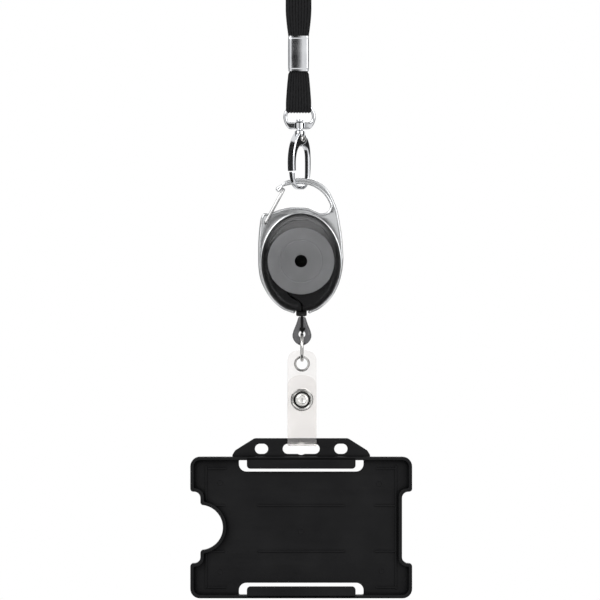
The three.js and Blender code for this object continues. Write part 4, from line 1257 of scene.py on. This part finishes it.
@dataclass
class SnapHook(Assembly):
    """The eye that the braid hangs in, and the swivelling oval hook with its sprung gate."""

    eye_x: float = -0.6
    eye_top: float = -246.0
    hook_x: float = -0.5
    hook_top: float = -256.8
    turn: float = 45.0
    half: float = 5.5
    height: float = 24.4
    side: float = 1.65
    foot: float = 1.6
    thick: float = 2.5
    rivet_down: float = 3.5
    tip_down: float = 17.1

    def build_eye(self) -> None:
        """Makes the eye and the boss its swivel post turns in."""
        outer = flow(mirrored([
            (2.0, -10.4), (4.0, -10.35), (5.1, -9.6), (6.0, -8.2), (6.6, -6.4), (6.7, -5.2), (6.4, -3.6),
            (5.7, -2.2), (4.9, -0.7), (3.6, 0.0), (1.6, 0.02)]), 4, closed=True)
        inner = flow(mirrored([
            (1.6, -7.4), (3.9, -7.35), (4.7, -6.9), (5.05, -5.8), (4.95, -4.6), (4.4, -3.0), (3.6, -2.0),
            (1.5, -1.9)]), 4, closed=True)
        ring = plate(outer, -0.95, 0.95, 0.7, [inner], 4)
        boss = turned([(1.1, -10.45), (1.9, -10.45), (2.3, -10.1), (2.3, -7.8), (1.9, -7.4), (1.1, -7.4),
                       (1.1, -10.45)], Axis.UPRIGHT, segments=48)
        self.fit("swivel_eye_ring", moved(merged(ring, boss), (self.eye_x, 0, self.eye_top)),
                 self.finish.chrome, "eye", ["swivel_eye"], "chrome")

    def oval(self, half: float, top: float, bottom: float, power: float) -> list[Point]:
        """Draws a long rounded oval.

        Args:
            half: Its half width.
            top: Its top height.
            bottom: Its bottom height.
            power: How square its ends are; 2 is an ellipse.

        Returns:
            Its outline.
        """
        mid, reach = (top + bottom) / 2, (top - bottom) / 2
        line = []
        for i in range(240):
            turn = 2 * math.pi * i / 240
            c, s = math.cos(turn), math.sin(turn)
            line.append((half * math.copysign(abs(c) ** (2 / power), c),
                         mid + reach * math.copysign(abs(s) ** (2 / power), s)))
        return line

    def build_hook(self) -> None:
        """Makes the fixed half of the hook: neck, boss, back arm, foot and tip."""
        outer = self.oval(self.half, -1.6, -self.height, 2.55)
        inner = self.oval(self.half - self.side, -6.6, -self.height + self.foot, 3.8)
        ring_outline = [p for p in outer if p[0] > -0.01 or p[1] < -self.tip_down]
        ring_outline.sort(key=lambda p: math.atan2(p[1] + 13, p[0] + 0.001 if p[1] < -13 else p[0]))
        start = [p for p in outer if p[0] >= 0 and p[1] > -13]
        start.sort(key=lambda p: p[1], reverse=True)
        right = [p for p in outer if p[0] >= 0]
        right.sort(key=lambda p: (-p[1]))
        left = [p for p in outer if p[0] < 0 and p[1] < -self.tip_down]
        left.sort(key=lambda p: p[1])
        in_left = [p for p in inner if p[0] < 0 and p[1] < -self.tip_down]
        in_left.sort(key=lambda p: -p[1])
        in_right = [p for p in inner if p[0] >= 0]
        in_right.sort(key=lambda p: p[1])
        neck = [(0.4, -4.6), (0.4, -1.6)]
        outline = neck + right[2:] + left + in_left + in_right
        arm = plate(outline, -self.thick / 2, self.thick / 2, 0.55, rounds=4)
        collar = turned([(0, 0), (1.7, 0), (2.15, -0.35), (2.3, -1.1), (2.2, -2.1), (1.6, -3.2), (0, -3.3)],
                        Axis.UPRIGHT, segments=40)
        boss = turned([(0, -0.85), (2.0, -0.85), (2.2, -0.7), (2.2, 0.7), (2.0, 0.85), (0, 0.85)],
                      at=(0, 0, -self.rivet_down), segments=48)
        bm = moved(merged(arm, collar, boss), (self.hook_x, 0, self.hook_top), self.turn)
        self.fit("hook_arm", bm, self.finish.chrome, "hook", ["hook_body"], "chrome")

    def build_gate(self) -> None:
        """Makes the gate: two cheeks round the rivet and a hollow-backed arm down to the tip."""
        outer = flow([
            (0.6, 0.0), (-1.0, -0.6), (-2.4, -1.9), (-3.7, -4.0), (-4.7, -6.9), (-5.3, -10.0), (-5.5, -13.2),
            (-5.35, -16.7)], 5)
        inner = flow([
            (-3.75, -16.7), (-3.85, -13.5), (-3.55, -10.6), (-2.8, -8.2), (-1.6, -6.6), (0.2, -5.9),
            (1.8, -5.1), (2.4, -3.6), (2.0, -2.2)], 5)
        lift = 0.1
        outline = [(x, z - lift) for x, z in outer + inner]
        cheeks = plate(outline, -1.85, 1.85, 0.4, rounds=3)
        piece = mesh_object("gate_arm", cheeks)
        hollow = plate([(x, z - lift) for x, z in flow([
            (-4.75, -16.0), (-4.75, -13.0), (-4.4, -9.6), (-3.6, -6.6), (-2.2, -4.2), (-1.6, -1.4), (5.0, -0.4),
            (6, -10), (2, -19), (-4.4, -18)], 3, closed=True)], -1.15, 1.15, 0.05)
        carve(piece, hollow)
        place = Matrix.Translation((self.hook_x * MM, 0, self.hook_top * MM)) @ Matrix.Rotation(
            math.radians(self.turn), 4, "Z")
        piece.data.transform(place)
        self.settle(piece, self.finish.chrome, "hook_gate", ["hook_gate"], "chrome")

    def build_small(self) -> None:
        """Makes the swivel post, the rivet and dresses the gate's leaf spring."""
        head = -256.4 + 2.95 + 0.2 - self.hook_top
        post = turned([(0, -1.4), (0.9, -1.4), (0.9, head), (1.4, head), (1.65, head + 0.2),
                       (1.6, head + 0.8), (1.1, head + 1.15), (0, head + 1.2)], Axis.UPRIGHT, segments=36)
        self.fit("swivel_pin", moved(post, (self.hook_x, 0, self.hook_top)), self.finish.chrome, "hook",
                 ["swivel_post"], "chrome")
        end = 1.85 + 0.12
        rivet = turned([(0, -end - 0.5), (0.6, -end - 0.47), (1.1, -end - 0.3), (1.3, -end), (0.8, -end),
                        (0.8, end), (1.3, end), (1.1, end + 0.3), (0.6, end + 0.47), (0, end + 0.5)],
                       segments=32)
        self.fit("hook_rivet", moved(moved(rivet, (0, 0, -self.rivet_down)),
                                     (self.hook_x, 0, self.hook_top), self.turn),
                 self.finish.nickel, "hook", ["gate_rivet"], "chrome")
        self.dress("gate_spring", self.finish.steel)

    def build(self) -> None:
        """Makes every piece of the eye and hook."""
        self.build_eye()
        self.build_hook()
        self.build_gate()
        self.build_small()


# ---------------------------------------------------------------- carabiner frame


@dataclass
class CarabinerFrame(Assembly):
    """The satin frame round the reel, with raised rims, sunk webs and a sprung wire gate."""

    centre_z: float = -310.55
    half_thick: float = 1.3
    web_half: float = 0.9
    rim: float = 1.3
    seat: tuple[float, float] = (15.75, 19.75)
    seat_drop: float = 0.7
    wire_radius: float = 0.68

    outer_right: tuple[Point, ...] = (
        (-9.9, 29.0), (-7.35, 32.3), (-4.5, 33.5), (-0.4, 34.2), (3.7, 33.7), (6.6, 32.8), (9.5, 31.1),
        (12, 28), (13.6, 24.5), (15, 20.8), (16.1, 15.1), (16.9, 9.7), (17.4, 2.3), (17.35, -0.1),
        (16.9, -4.2), (15.7, -8.8), (13.6, -13.3), (10.7, -16.9), (7.1, -19.9), (3.3, -21.4))
    outer_left: tuple[Point, ...] = (
        (-2.7, -21.4), (-7.2, -19.9), (-11.05, -16.9), (-13.9, -13.3), (-16.4, -8.3), (-17.4, -3.4),
        (-17.6, 2.3), (-17.5, 8.9), (-17, 14.7), (-16.4, 18), (-15.3, 19.6), (-13.5, 19.6))
    eye: tuple[Point, ...] = (
        (-10.8, 20.4), (-8.2, 21.3), (-4.5, 22.1), (-0.4, 22.1), (2.9, 21.8), (5.4, 20.8), (7.8, 19.8),
        (9.9, 19.9), (11.3, 20.8), (12, 22.5), (11.5, 24.1), (9.9, 26.8), (7, 29.5), (3.7, 31.1),
        (-0.4, 31.7), (-4.5, 31.3), (-7.15, 30.7))

    def outline(self) -> list[Point]:
        """Runs once round the whole frame: outside, seat, left side and eye.

        Returns:
            The outline.
        """
        a, b = self.seat
        start = math.degrees(math.atan2(-19.5 / b, 3.3 / a))
        stop = math.degrees(math.atan2(-19.5 / b, -2.7 / a)) + 360
        turns = [math.radians(start + (stop - start) * i / 120) for i in range(121)]
        seat = [(a * math.cos(t), b * math.sin(t) - self.seat_drop) for t in turns]
        right = flow(self.outer_right, 5)
        left = flow(self.outer_left, 5)
        eye = flow(self.eye, 5)
        return [*right, *seat, *left, *eye]

    def build_frame(self) -> None:
        """Makes the frame: a sunk web with a raised rounded rim along every edge."""
        outline = self.outline()
        web = plate(outline, -self.web_half, self.web_half, 0.25, rounds=1)
        even = evened(outline, 0.5)
        line = inset(even, self.rim / 2)
        rim = wire([(x, 0, z) for x, z in line], self.rim / 2, 16, closed=True,
                   flat=self.half_thick / (self.rim / 2))
        self.fit("carabiner_frame_body", moved(merged(web, rim), (0, 0, self.centre_z)), self.finish.satin,
                 "reel", ["carabiner_frame"], "satin", 50)

    def build_gate(self) -> None:
        """Makes the bent wire gate."""
        px, pz, tx, tz, bend = -14.6, 15.6, -7.1, 29.5, 1.3
        away = self.half_thick + 0.3 + self.wire_radius
        mx, mz = px + (tx - px) * 0.56, pz + (tz - pz) * 0.56
        nx, nz = px + (tx - px) * 0.92, pz + (tz - pz) * 0.92
        leg = [(px, -0.3, pz), (px, -away * 0.72, pz), (px + 0.2, -away, pz + 0.55),
               (px + 0.8, -away, pz + 1.6), (mx, -away, mz), (nx, -bend, nz)]
        path = flow([*leg, (tx, 0, tz), *[(x, -y, z) for x, y, z in reversed(leg)]], 7)
        self.fit("wire_gate", moved(wire(path, self.wire_radius, 14, across=(1, 0, -0.5)), (0, 0, self.centre_z)),
                 self.finish.steel, "frame_gate", ["frame_wire_gate"], "spring_steel")

    def build(self) -> None:
        """Makes the frame and its gate."""
        self.build_frame()
        self.build_gate()


# ---------------------------------------------------------------- reel


@dataclass
class Reel(Assembly):
    """The smoked oval case, the cord drum seen through it, the cord's way out and its guide."""

    centre_z: float = -310.55
    half_wide: float = 15.9
    half_tall: float = 20.0
    shell_drop: float = 0.7
    depth: float = 11.0
    wall: float = 1.1
    drop_x: float = 0.4

    def case_profile(self, side: int) -> list[Point]:
        """Gives one case half's section.

        Args:
            side: -1 for the front half, 1 for the rear.

        Returns:
            Radius and depth from the axis, out, over the edge and back to the axis.
        """
        r, f = self.half_wide, self.depth / 2
        points = [(0.001, f), (r * 0.45, f - 0.02), (r * 0.76, f - 0.04), (r * 0.795, f - 0.12),
                  (r * 0.81, f - 0.34), (r * 0.85, f - 0.42), (r * 0.91, f - 0.75), (r * 0.962, f - 1.4),
                  (r * 0.992, f - 2.3), (r, f - 3.0), (r, 1.72), (r - 0.55, 1.7), (r - 0.55, 0.16),
                  (r - 1.6, 0.16), (r - 1.6, f - 2.4), (r - 2.0, f - 1.6), (r - 2.9, f - self.wall),
                  (0.001, f - self.wall)]
        return [(x, side * y) for x, y in points]

    def build_case(self) -> None:
        """Makes both halves of the case."""
        tall = self.half_tall / self.half_wide
        for name, side, node in (("case_front_shell", -1, "case_front"), ("case_rear_shell", 1, "case_rear")):
            bm = turned(self.case_profile(side), at=(0, 0, self.centre_z - self.shell_drop), segments=112, tall=tall)
            finish = self.finish.smoke if side < 0 else self.finish.dark_smoke
            self.fit(name, bm, finish, "reel", [node], "smoke", 30)

    def build_drum(self) -> None:
        """Makes the grey drum with its stepped disc, the wound line and the hub."""
        at = (0, 0, self.centre_z)
        front, groove, back = -4.1, -3.3, -1.4
        drum = [(2.6, front + 0.1), (2.9, front), (8.4, front), (8.55, front + 0.16), (8.85, front + 0.16),
                (9.0, front), (13.3, front), (13.65, front + 0.2), (13.65, groove), (7.6, groove),
                (7.6, back), (13.65, back), (13.65, back + 0.8), (2.6, back + 0.8), (2.6, front + 0.1)]
        self.fit("cord_drum", turned(drum, at=at, segments=96), self.finish.grey, "spool",
                 ["cord_spool"], "grey_plastic")
        turns = []
        for i in range(26):
            turn = math.pi * i / 6.5
            turns.append((12.0 + 0.16 * math.cos(turn * 2), groove + 0.25 + 1.4 * i / 25))
        wound = [(7.8, groove + 0.2), *turns, (7.8, back - 0.2), (7.8, groove + 0.2)]
        self.fit("wound_line", turned(wound, at=at, segments=72), self.finish.line, "spool",
                 ["cord_winding"], "line")
        hub = [(0, -4.1), (1.0, -4.15), (1.9, -4.1), (2.3, -3.9), (2.3, 3.3), (3.0, 3.4), (3.0, 4.05), (0, 4.1)]
        self.fit("hub_pin", turned(hub, at=at, segments=40), self.finish.gloss_black, "reel",
                 ["hub_axle"], "black_plastic")
        self.dress("power_spring", self.finish.steel)

    def build_lead(self) -> None:
        """Makes the line's way from the drum to the guide, and the guide block."""
        radius = 12.9
        start = [(x, -2.35, z) for x, z in arc(0, 0, radius, 214, 238, 4)]
        path = flow([*start, (-4.4, -2.15, -14.2), (-1.2, -1.3, -16.2), (0.3, -1.1, -17.6), (0.4, -1.1, -19.8)], 4)
        self.fit("line_lead", moved(wire(path, 0.42, 10), (0, 0, self.centre_z)), self.finish.line, "reel",
                 ["cord_lead"], "line")
        top = self.centre_z - 20.2
        block = plate(filleted([(-2.2, -2.4, 0.7), (2.2, -2.4, 0.7), (2.2, 0, 0.3), (-2.2, 0, 0.3)]),
                      -2.2, 2.2, 0.35, rounds=3)
        collar = turned([(0.62, -2.3), (1.1, -2.55), (1.3, -2.35), (1.3, -1.4), (0.62, -1.4), (0.62, -2.3)],
                        Axis.UPRIGHT, at=(0.2, -1.1, 0.0), segments=28)
        self.fit("guide_block", moved(merged(block, collar), (0.2, 0, top)), self.finish.gloss_black, "reel",
                 ["cord_guide"], "black_plastic")

    def build(self) -> None:
        """Makes every piece of the reel."""
        self.build_case()
        self.build_drum()
        self.build_lead()


# ---------------------------------------------------------------- pull cord and its fitting


@dataclass
class CordEnd(Assembly):
    """The pulled line, the drop-shaped fitting it is knotted in, and the split ring below."""

    x: float = 0.4
    top: float = -333.45
    height: float = 11.8
    half: float = 3.95
    hole: float = 1.4
    hole_up: float = 4.7
    line_y: float = -1.1
    line_radius: float = 0.5
    ring_radius: float = 5.3
    ring_wire: float = 0.7
    ring_z: float = -346.0

    def half_at(self, down: float) -> float:
        """Gives the fitting's half width at a depth below its top."""
        shape = ((0.0, 1.25), (0.35, 1.6), (1.2, 1.85), (2.8, 2.35), (4.4, 3.0), (5.8, 3.55), (7.2, 3.92),
                 (8.4, 3.9), (9.6, 3.4), (10.6, 2.6), (11.4, 1.5), (11.8, 0.5))
        for (a, wa), (b, wb) in zip(shape, shape[1:]):
            if down <= b:
                t = (down - a) / (b - a)
                return wa + (wb - wa) * t
        return shape[-1][1]

    def build_fitting(self) -> None:
        """Makes the drop: full in front, pierced, with a groove for the line."""
        rings = []
        for i in range(45):
            down = self.height * i / 44
            wide = self.half_at(down)
            deep = min(1.55, wide * 0.95)
            ring = []
            for k in range(40):
                turn = 2 * math.pi * k / 40
                c, s = math.cos(turn), math.sin(turn)
                ring.append((wide * math.copysign(abs(c) ** 0.72, c), deep * math.copysign(abs(s) ** 0.8, s), -down))
            rings.append(ring)
        piece = mesh_object("cord_drop", skin(rings))
        hole_z = -self.height + self.hole_up
        hole = turned([(0, -4), (self.hole, -4), (self.hole, 4), (0, 4)], at=(0, 0, hole_z), segments=40)
        groove = plate(rounded(1.5, 12, 0.3, 0, hole_z + 6.6), -4, -0.75, 0.25)
        carve(piece, hole, groove)
        piece.data.transform(Matrix.Translation((self.x * MM, 0, self.top * MM)))
        self.settle(piece, self.finish.drop_smoke, "cord_end", ["cord_end_fitting"], "black_plastic")

    def build_line(self) -> None:
        """Makes the line itself, which draws out of the guide, and its knot."""
        start = -330.75
        end = self.top - self.height + self.hole_up + 1.1
        count = 12
        path = [(self.x, self.line_y, start + (end - start) * i / count) for i in range(count + 1)]
        line = self.fit("drawn_line", wire(path, self.line_radius, 10, across=(1, 0, 0)), self.finish.line,
                        None, ["pull_cord"], "line")
        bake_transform(line)
        hole_z = self.top - self.height + self.hole_up
        loops = []
        for i in range(40):
            turn = 2 * math.pi * i / 40
            loops.append((self.x + 0.15 + 0.62 * math.sin(turn) + 0.32 * math.sin(2 * turn),
                          -2.05 - 0.25 * math.cos(3 * turn),
                          hole_z + 1.75 + 0.75 * math.cos(turn) - 0.3 * math.cos(2 * turn)))
        self.fit("line_knot", wire(loops, 0.5, 9, closed=True), self.finish.line, "cord_end",
                 ["cord_knot"], "line")

    def build_ring(self) -> None:
        """Makes the split ring as one closed turn of wire; a split ring is two turns of wire pressed together."""
        path = []
        for i in range(96):
            turn = 2 * math.pi * i / 96
            path.append((self.x, self.ring_radius * math.sin(turn), self.ring_z + self.ring_radius * math.cos(turn)))
        self.fit("split_ring", wire(path, self.ring_wire, 16, closed=True, across=(1, 0, 0)),
                 self.finish.nickel, "ring", ["link_ring"], "nickel")

    def build(self) -> None:
        """Makes every piece of the cord's end."""
        self.build_fitting()
        self.build_line()
        self.build_ring()


# ---------------------------------------------------------------- vinyl strap


@dataclass
class SnapStrap(Assembly):
    """The clear strap folded over the holder's bar, with its eyelet and press stud."""

    x: float = 0.4
    width: float = 11.9
    thick: float = 0.55
    eyelet_z: float = -352.65
    top: float = -347.1
    snap_z: float = -367.4
    flap_top: float = -357.3
    bar_z: float = -384.4
    fold: float = 1.885
    leg: float = 1.4
    bend: float = 5.0

    def centre_line(self) -> list[Point]:
        """Gives the strap's route in depth and height, from its top round the bar to the flap's end."""
        rear = [(0, self.top), (0, self.snap_z + 13), (0.05, self.snap_z + 10.5), (0.6, self.snap_z + 7.4),
                (1.25, self.snap_z + 4.8), (self.leg, self.snap_z + 3), (self.leg, self.snap_z - 4),
                (1.62, self.snap_z - 10)]
        bight = arc(0, self.bar_z, self.fold, 0, -180, 10)
        front = [(-1.62, self.snap_z - 10), (-self.leg, self.snap_z - 4), (-self.leg, self.snap_z + 3),
                 (-1.34, self.snap_z + 7), (-1.26, self.flap_top)]
        return [(y, z) for y, z in flow(rear + bight + front, 6)]

    def half_width(self, from_end: float, corner: float) -> float:
        """Gives the half width near a rounded end.

        Args:
            from_end: How far the place is from the end.
            corner: The end's corner radius.

        Returns:
            The half width there.
        """
        if from_end >= corner:
            return self.width / 2
        return self.width / 2 - corner + math.sqrt(max(corner ** 2 - (corner - from_end) ** 2, 0.0))

    def build_vinyl(self) -> None:
        """Makes the strip in two lengths that meet under the bar, pierced for the eyelet and the stud."""
        line = self.centre_line()
        reach = [0.0]
        for a, b in zip(line, line[1:]):
            reach.append(reach[-1] + math.dist(a, b))
        fine: list[Point] = []
        for i, (a, b) in enumerate(zip(line, line[1:])):
            near_end = reach[i] < 5 or reach[-1] - reach[i] < 5.5
            steps = max(1, round((reach[i + 1] - reach[i]) / (0.35 if near_end else 1.0)))
            fine += [(a[0] + (b[0] - a[0]) * k / steps, a[1] + (b[1] - a[1]) * k / steps) for k in range(steps)]
        fine.append(line[-1])
        total = sum(math.dist(a, b) for a, b in zip(fine, fine[1:]))
        rings, so_far = [], 0.0
        for i, (y, z) in enumerate(fine):
            if i:
                so_far += math.dist(fine[i - 1], fine[i])
            before, after = fine[max(i - 1, 0)], fine[min(i + 1, len(fine) - 1)]
            along = Vector((after[0] - before[0], after[1] - before[1])).normalized()
            out = Vector((-along.y, along.x))
            half = max(min(self.half_width(so_far, 4.2), self.half_width(total - so_far, 4.8)), 0.9)
            t = self.thick / 2
            edge = [(-half + 0.12, t), (-half * 0.5, t), (0, t), (half * 0.5, t), (half - 0.12, t),
                    (half, t * 0.5), (half, -t * 0.5), (half - 0.12, -t), (half * 0.5, -t), (0, -t),
                    (-half * 0.5, -t), (-half + 0.12, -t), (-half, -t * 0.5), (-half, t * 0.5)]
            rings.append([(self.x + a, y + out.x * n, z + out.y * n) for a, n in edge])
        foot = min(range(len(fine)), key=lambda i: fine[i][1])
        eyelet = turned([(0, -3), (2.75, -3), (2.75, 3), (0, 3)], at=(self.x, 0, self.eyelet_z), segments=40)
        rear = carve(mesh_object("vinyl_rear_leg", skin(rings[:foot + 1])), eyelet, self.stud_hole())
        flap = carve(mesh_object("vinyl_front_flap", skin(rings[foot:])), self.stud_hole())
        self.settle(rear, self.finish.vinyl, "strap", ["strap_rear_leg"], "vinyl")
        self.settle(flap, self.finish.vinyl, None, ["strap_front_flap"], "vinyl")
        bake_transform(flap)

    def stud_hole(self) -> bmesh.types.BMesh:
        """Makes the round cutter for the press stud's hole."""
        return turned([(0, -6), (2.0, -6), (2.0, 6), (0, 6)], at=(self.x, 0, self.snap_z), segments=40)

    def build_metal(self) -> None:
        """Makes the eyelet and the four pressed pieces of the stud."""
        skin_half = self.thick / 2
        eyelet = [(2.35, -0.75), (2.5, -0.93), (2.9, -0.88), (3.25, -skin_half - 0.2), (3.2, -skin_half),
                  (2.7, -skin_half), (2.7, skin_half), (3.2, skin_half), (3.25, skin_half + 0.2),
                  (2.9, 0.88), (2.5, 0.93), (2.35, 0.75), (2.35, -0.75)]
        self.fit("eyelet_ring", turned(eyelet, at=(self.x, 0, self.eyelet_z), segments=56), self.finish.nickel,
                 "strap", ["strap_eyelet"], "nickel")
        at = (self.x, 0, self.snap_z)
        face = self.leg + skin_half + 0.15
        room = self.leg - skin_half - 0.15
        cap = [(0, -face - 0.28), (0.9, -face - 0.32), (1.35, -face - 0.55), (1.75, -face - 0.6),
               (1.9, -face - 0.35), (2.25, -face - 0.2), (2.55, -face - 0.42), (2.75, -face - 0.42),
               (3.0, -face - 0.2), (3.25, -face - 0.2), (3.5, -face - 0.62), (3.9, -face - 0.88),
               (4.3, -face - 0.85), (4.6, -face - 0.55), (4.7, -face - 0.2), (4.65, -face), (1.85, -face),
               (1.85, -room - 0.1), (0, -room - 0.1)]
        socket = [(2.05, -room), (4.1, -room), (4.1, -room + 0.5), (3.9, -room + 0.7), (3.3, 0.1), (2.15, 0.25),
                  (2.05, -room)]
        stud = [(0, -room + 0.35), (1.2, -room + 0.38), (1.55, -room + 0.7), (1.4, 0.2), (1.5, room - 0.4),
                (4.0, room - 0.4), (4.1, room - 0.25), (4.1, room), (0, room)]
        post = [(0, room + 0.1), (1.7, room + 0.1), (1.7, face), (4.6, face), (4.7, face + 0.2),
                (4.4, face + 0.55), (3.4, face + 0.82), (1.8, face + 0.95), (0, face + 1.0)]
        for name, profile, body, node in (
            ("stud_cap", cap, "strap_flap", "snap_cap"), ("stud_socket", socket, "strap_flap", "snap_socket"),
            ("stud_head", stud, "strap", "snap_stud"), ("stud_rear_cap", post, "strap", "snap_post"),
        ):
            finish = self.finish.cap if name == "stud_cap" else self.finish.nickel
            self.fit(name, turned(profile, at=at, segments=56), finish, body, [node], "nickel", 28)

    def build(self) -> None:
        """Makes every piece of the strap."""
        self.build_vinyl()
        self.build_metal()


# ---------------------------------------------------------------- card holder


@dataclass
class CardHolder(Assembly):
    """The rigid open-faced holder: floor, rim, lips, windows and slotted hanging tab."""

    x: float = 0.1
    centre_z: float = -419.835
    wide: float = 91.0
    tall: float = 58.05
    corner: float = 4.0
    floor: float = -0.1
    back: float = 1.3
    front: float = -3.1
    rim: float = 1.4
    notch_half: float = 14.7
    notch_at: float = 41.35
    thumb: float = 9.3

    def plan(self, draw: float) -> list[Point]:
        """Draws the body's outline with its thumb and finger notches.

        Args:
            draw: How far inside the true outline it lies.

        Returns:
            The outline.
        """
        w, h = self.wide / 2 - draw, self.tall / 2 - draw
        outer, inner = max(self.corner - draw, 0.8), 2.6 + draw
        lip, notch = max(1.3 - draw * 0.5, 0.3), self.notch_half + draw
        deep, thumb = self.notch_at - draw, self.thumb + draw
        join = self.notch_at + 0.1 - deep
        mouth = math.sqrt(thumb ** 2 - join ** 2)
        turn = math.degrees(math.acos(join / thumb))
        right = filleted([(-w + 9, -h, 0), (w, -h, outer), (w, -notch, lip), (deep, -notch, inner),
                          (deep, notch, inner), (w, notch, lip), (w, h, outer), (-w + 9, h, 0)])
        left = filleted([(-w + 9, h, 0), (-w, h, outer), (-w, notch, lip), (-deep, notch, inner),
                         (-deep, mouth, lip), (-deep + 3, mouth - 0.35, 0)])[:-1]
        bay = arc(-self.notch_at - 0.1, 0, thumb, turn - 7, 7 - turn, 30)
        lower = [(x, -z) for x, z in reversed(left)]
        return right + left[1:] + bay + lower[:-1]

    def tab_outline(self) -> list[Point]:
        """Draws the hanging tab above the body."""
        top = self.tall / 2
        half = [(28.3, -1.2, 0), (28.3, 0.7, 1.0), (27.2, 2.5, 1.6), (25.2, 3.8, 2.5), (19.2, 7.56, 2.6)]
        return filleted([(x, top + z, r) for x, z, r in half]
                        + [(-x, top + z, r) for x, z, r in reversed(half)])

    def build(self) -> None:
        """Makes the holder in one piece."""
        top = self.tall / 2
        windows, lips = [], []
        for sign in (-1, 1):
            edge, sill = sign * (top - 1.44), sign * (top - 6.16)
            windows.append(filleted([(-25.6, edge, 0.5), (-25.6, sill, 3.1), (25.6, sill, 3.1), (25.6, edge, 0.5)]))
            lip = filleted([(-22.3, sign * (top - 0.4), 0.1), (-22.3, sign * (top - 4.9), 1.5),
                            (22.3, sign * (top - 4.9), 1.5), (22.3, sign * (top - 0.4), 0.1)])
            lips.append(plate(lip, self.front, self.front + 1.2, 0.25, rounds=2))
        floor = plate(self.plan(0.05), self.floor, self.back, 0.3, windows, 3)
        rim = plate(self.plan(0.0), self.front, self.back - 0.25, 0.3, [self.plan(self.rim)], 3)
        slot_z = top + 7.56 - 2.3 - 2.075
        holes = [rounded(5.4, 4.15, 2.05, side * 16.3, slot_z, 10) for side in (-1, 1)]
        slot = [*arc(-5.525, slot_z, 2.075, 90, 270, 10), *arc(0, slot_z, 2.5, 236, 304, 8),
                *arc(5.525, slot_z, 2.075, -90, 90, 10), *arc(0, slot_z, 2.5, 56, 124, 8)]
        tab = plate(self.tab_outline(), -0.9, 0.9, 0.3, [slot, *holes], 3)
        parts = [floor, rim, tab, *lips]
        ribs = [(x, z, length, 0.75) for z in (8.9, -9.9) for x, length in ((0, 36), (34.5, 9), (-34.9, 7))]
        ribs += [(side * 34.6, z, 8, 0.75) for side in (-1, 1) for z in (24.1, -24.7)]
        ribs += [(38.9, 0, 0.75, 51), (-39.1, 18, 0.75, 14.5), (-39.1, -18, 0.75, 14.5)]
        for x, z, across, tall in ribs:
            parts.append(plate(rounded(across, tall, 0.35, x, z, 4), self.floor - 0.35, self.floor + 0.3, 0.14))
        for x, z in ((-33.3, 18.2), (32, 17.8), (-33.3, -18.4), (33, -18), (-0.2, -1.8)):
            mark = turned([(0, -0.2), (0.8, -0.2), (0.95, -0.25), (1.1, -0.1), (1.1, 0.2), (0, 0.2)], at=(x, 0, z),
                          segments=24)
            parts.append(mark)
        self.fit("holder_body", moved(merged(*parts), (self.x, 0, self.centre_z)), self.finish.black,
                 "holder", ["card_holder"], "black_plastic", 40)


def main() -> None:
    """Builds the studio and every sub-assembly, and logs how many pieces each has."""
    logging.basicConfig(level=logging.INFO, format="%(name)s: %(message)s")
    Studio().build()
    finish = Finishes()
    count = 0
    for kind in (Lanyard, SnapHook, CarabinerFrame, Reel, CordEnd, SnapStrap, CardHolder):
        assembly = kind(finish)
        assembly.build()
        count += len(assembly.made)
        log.info("%s: %d pieces", kind.__name__, len(assembly.made))
    log.info("%d pieces in all", count)


if __name__ == "__main__":
    main()
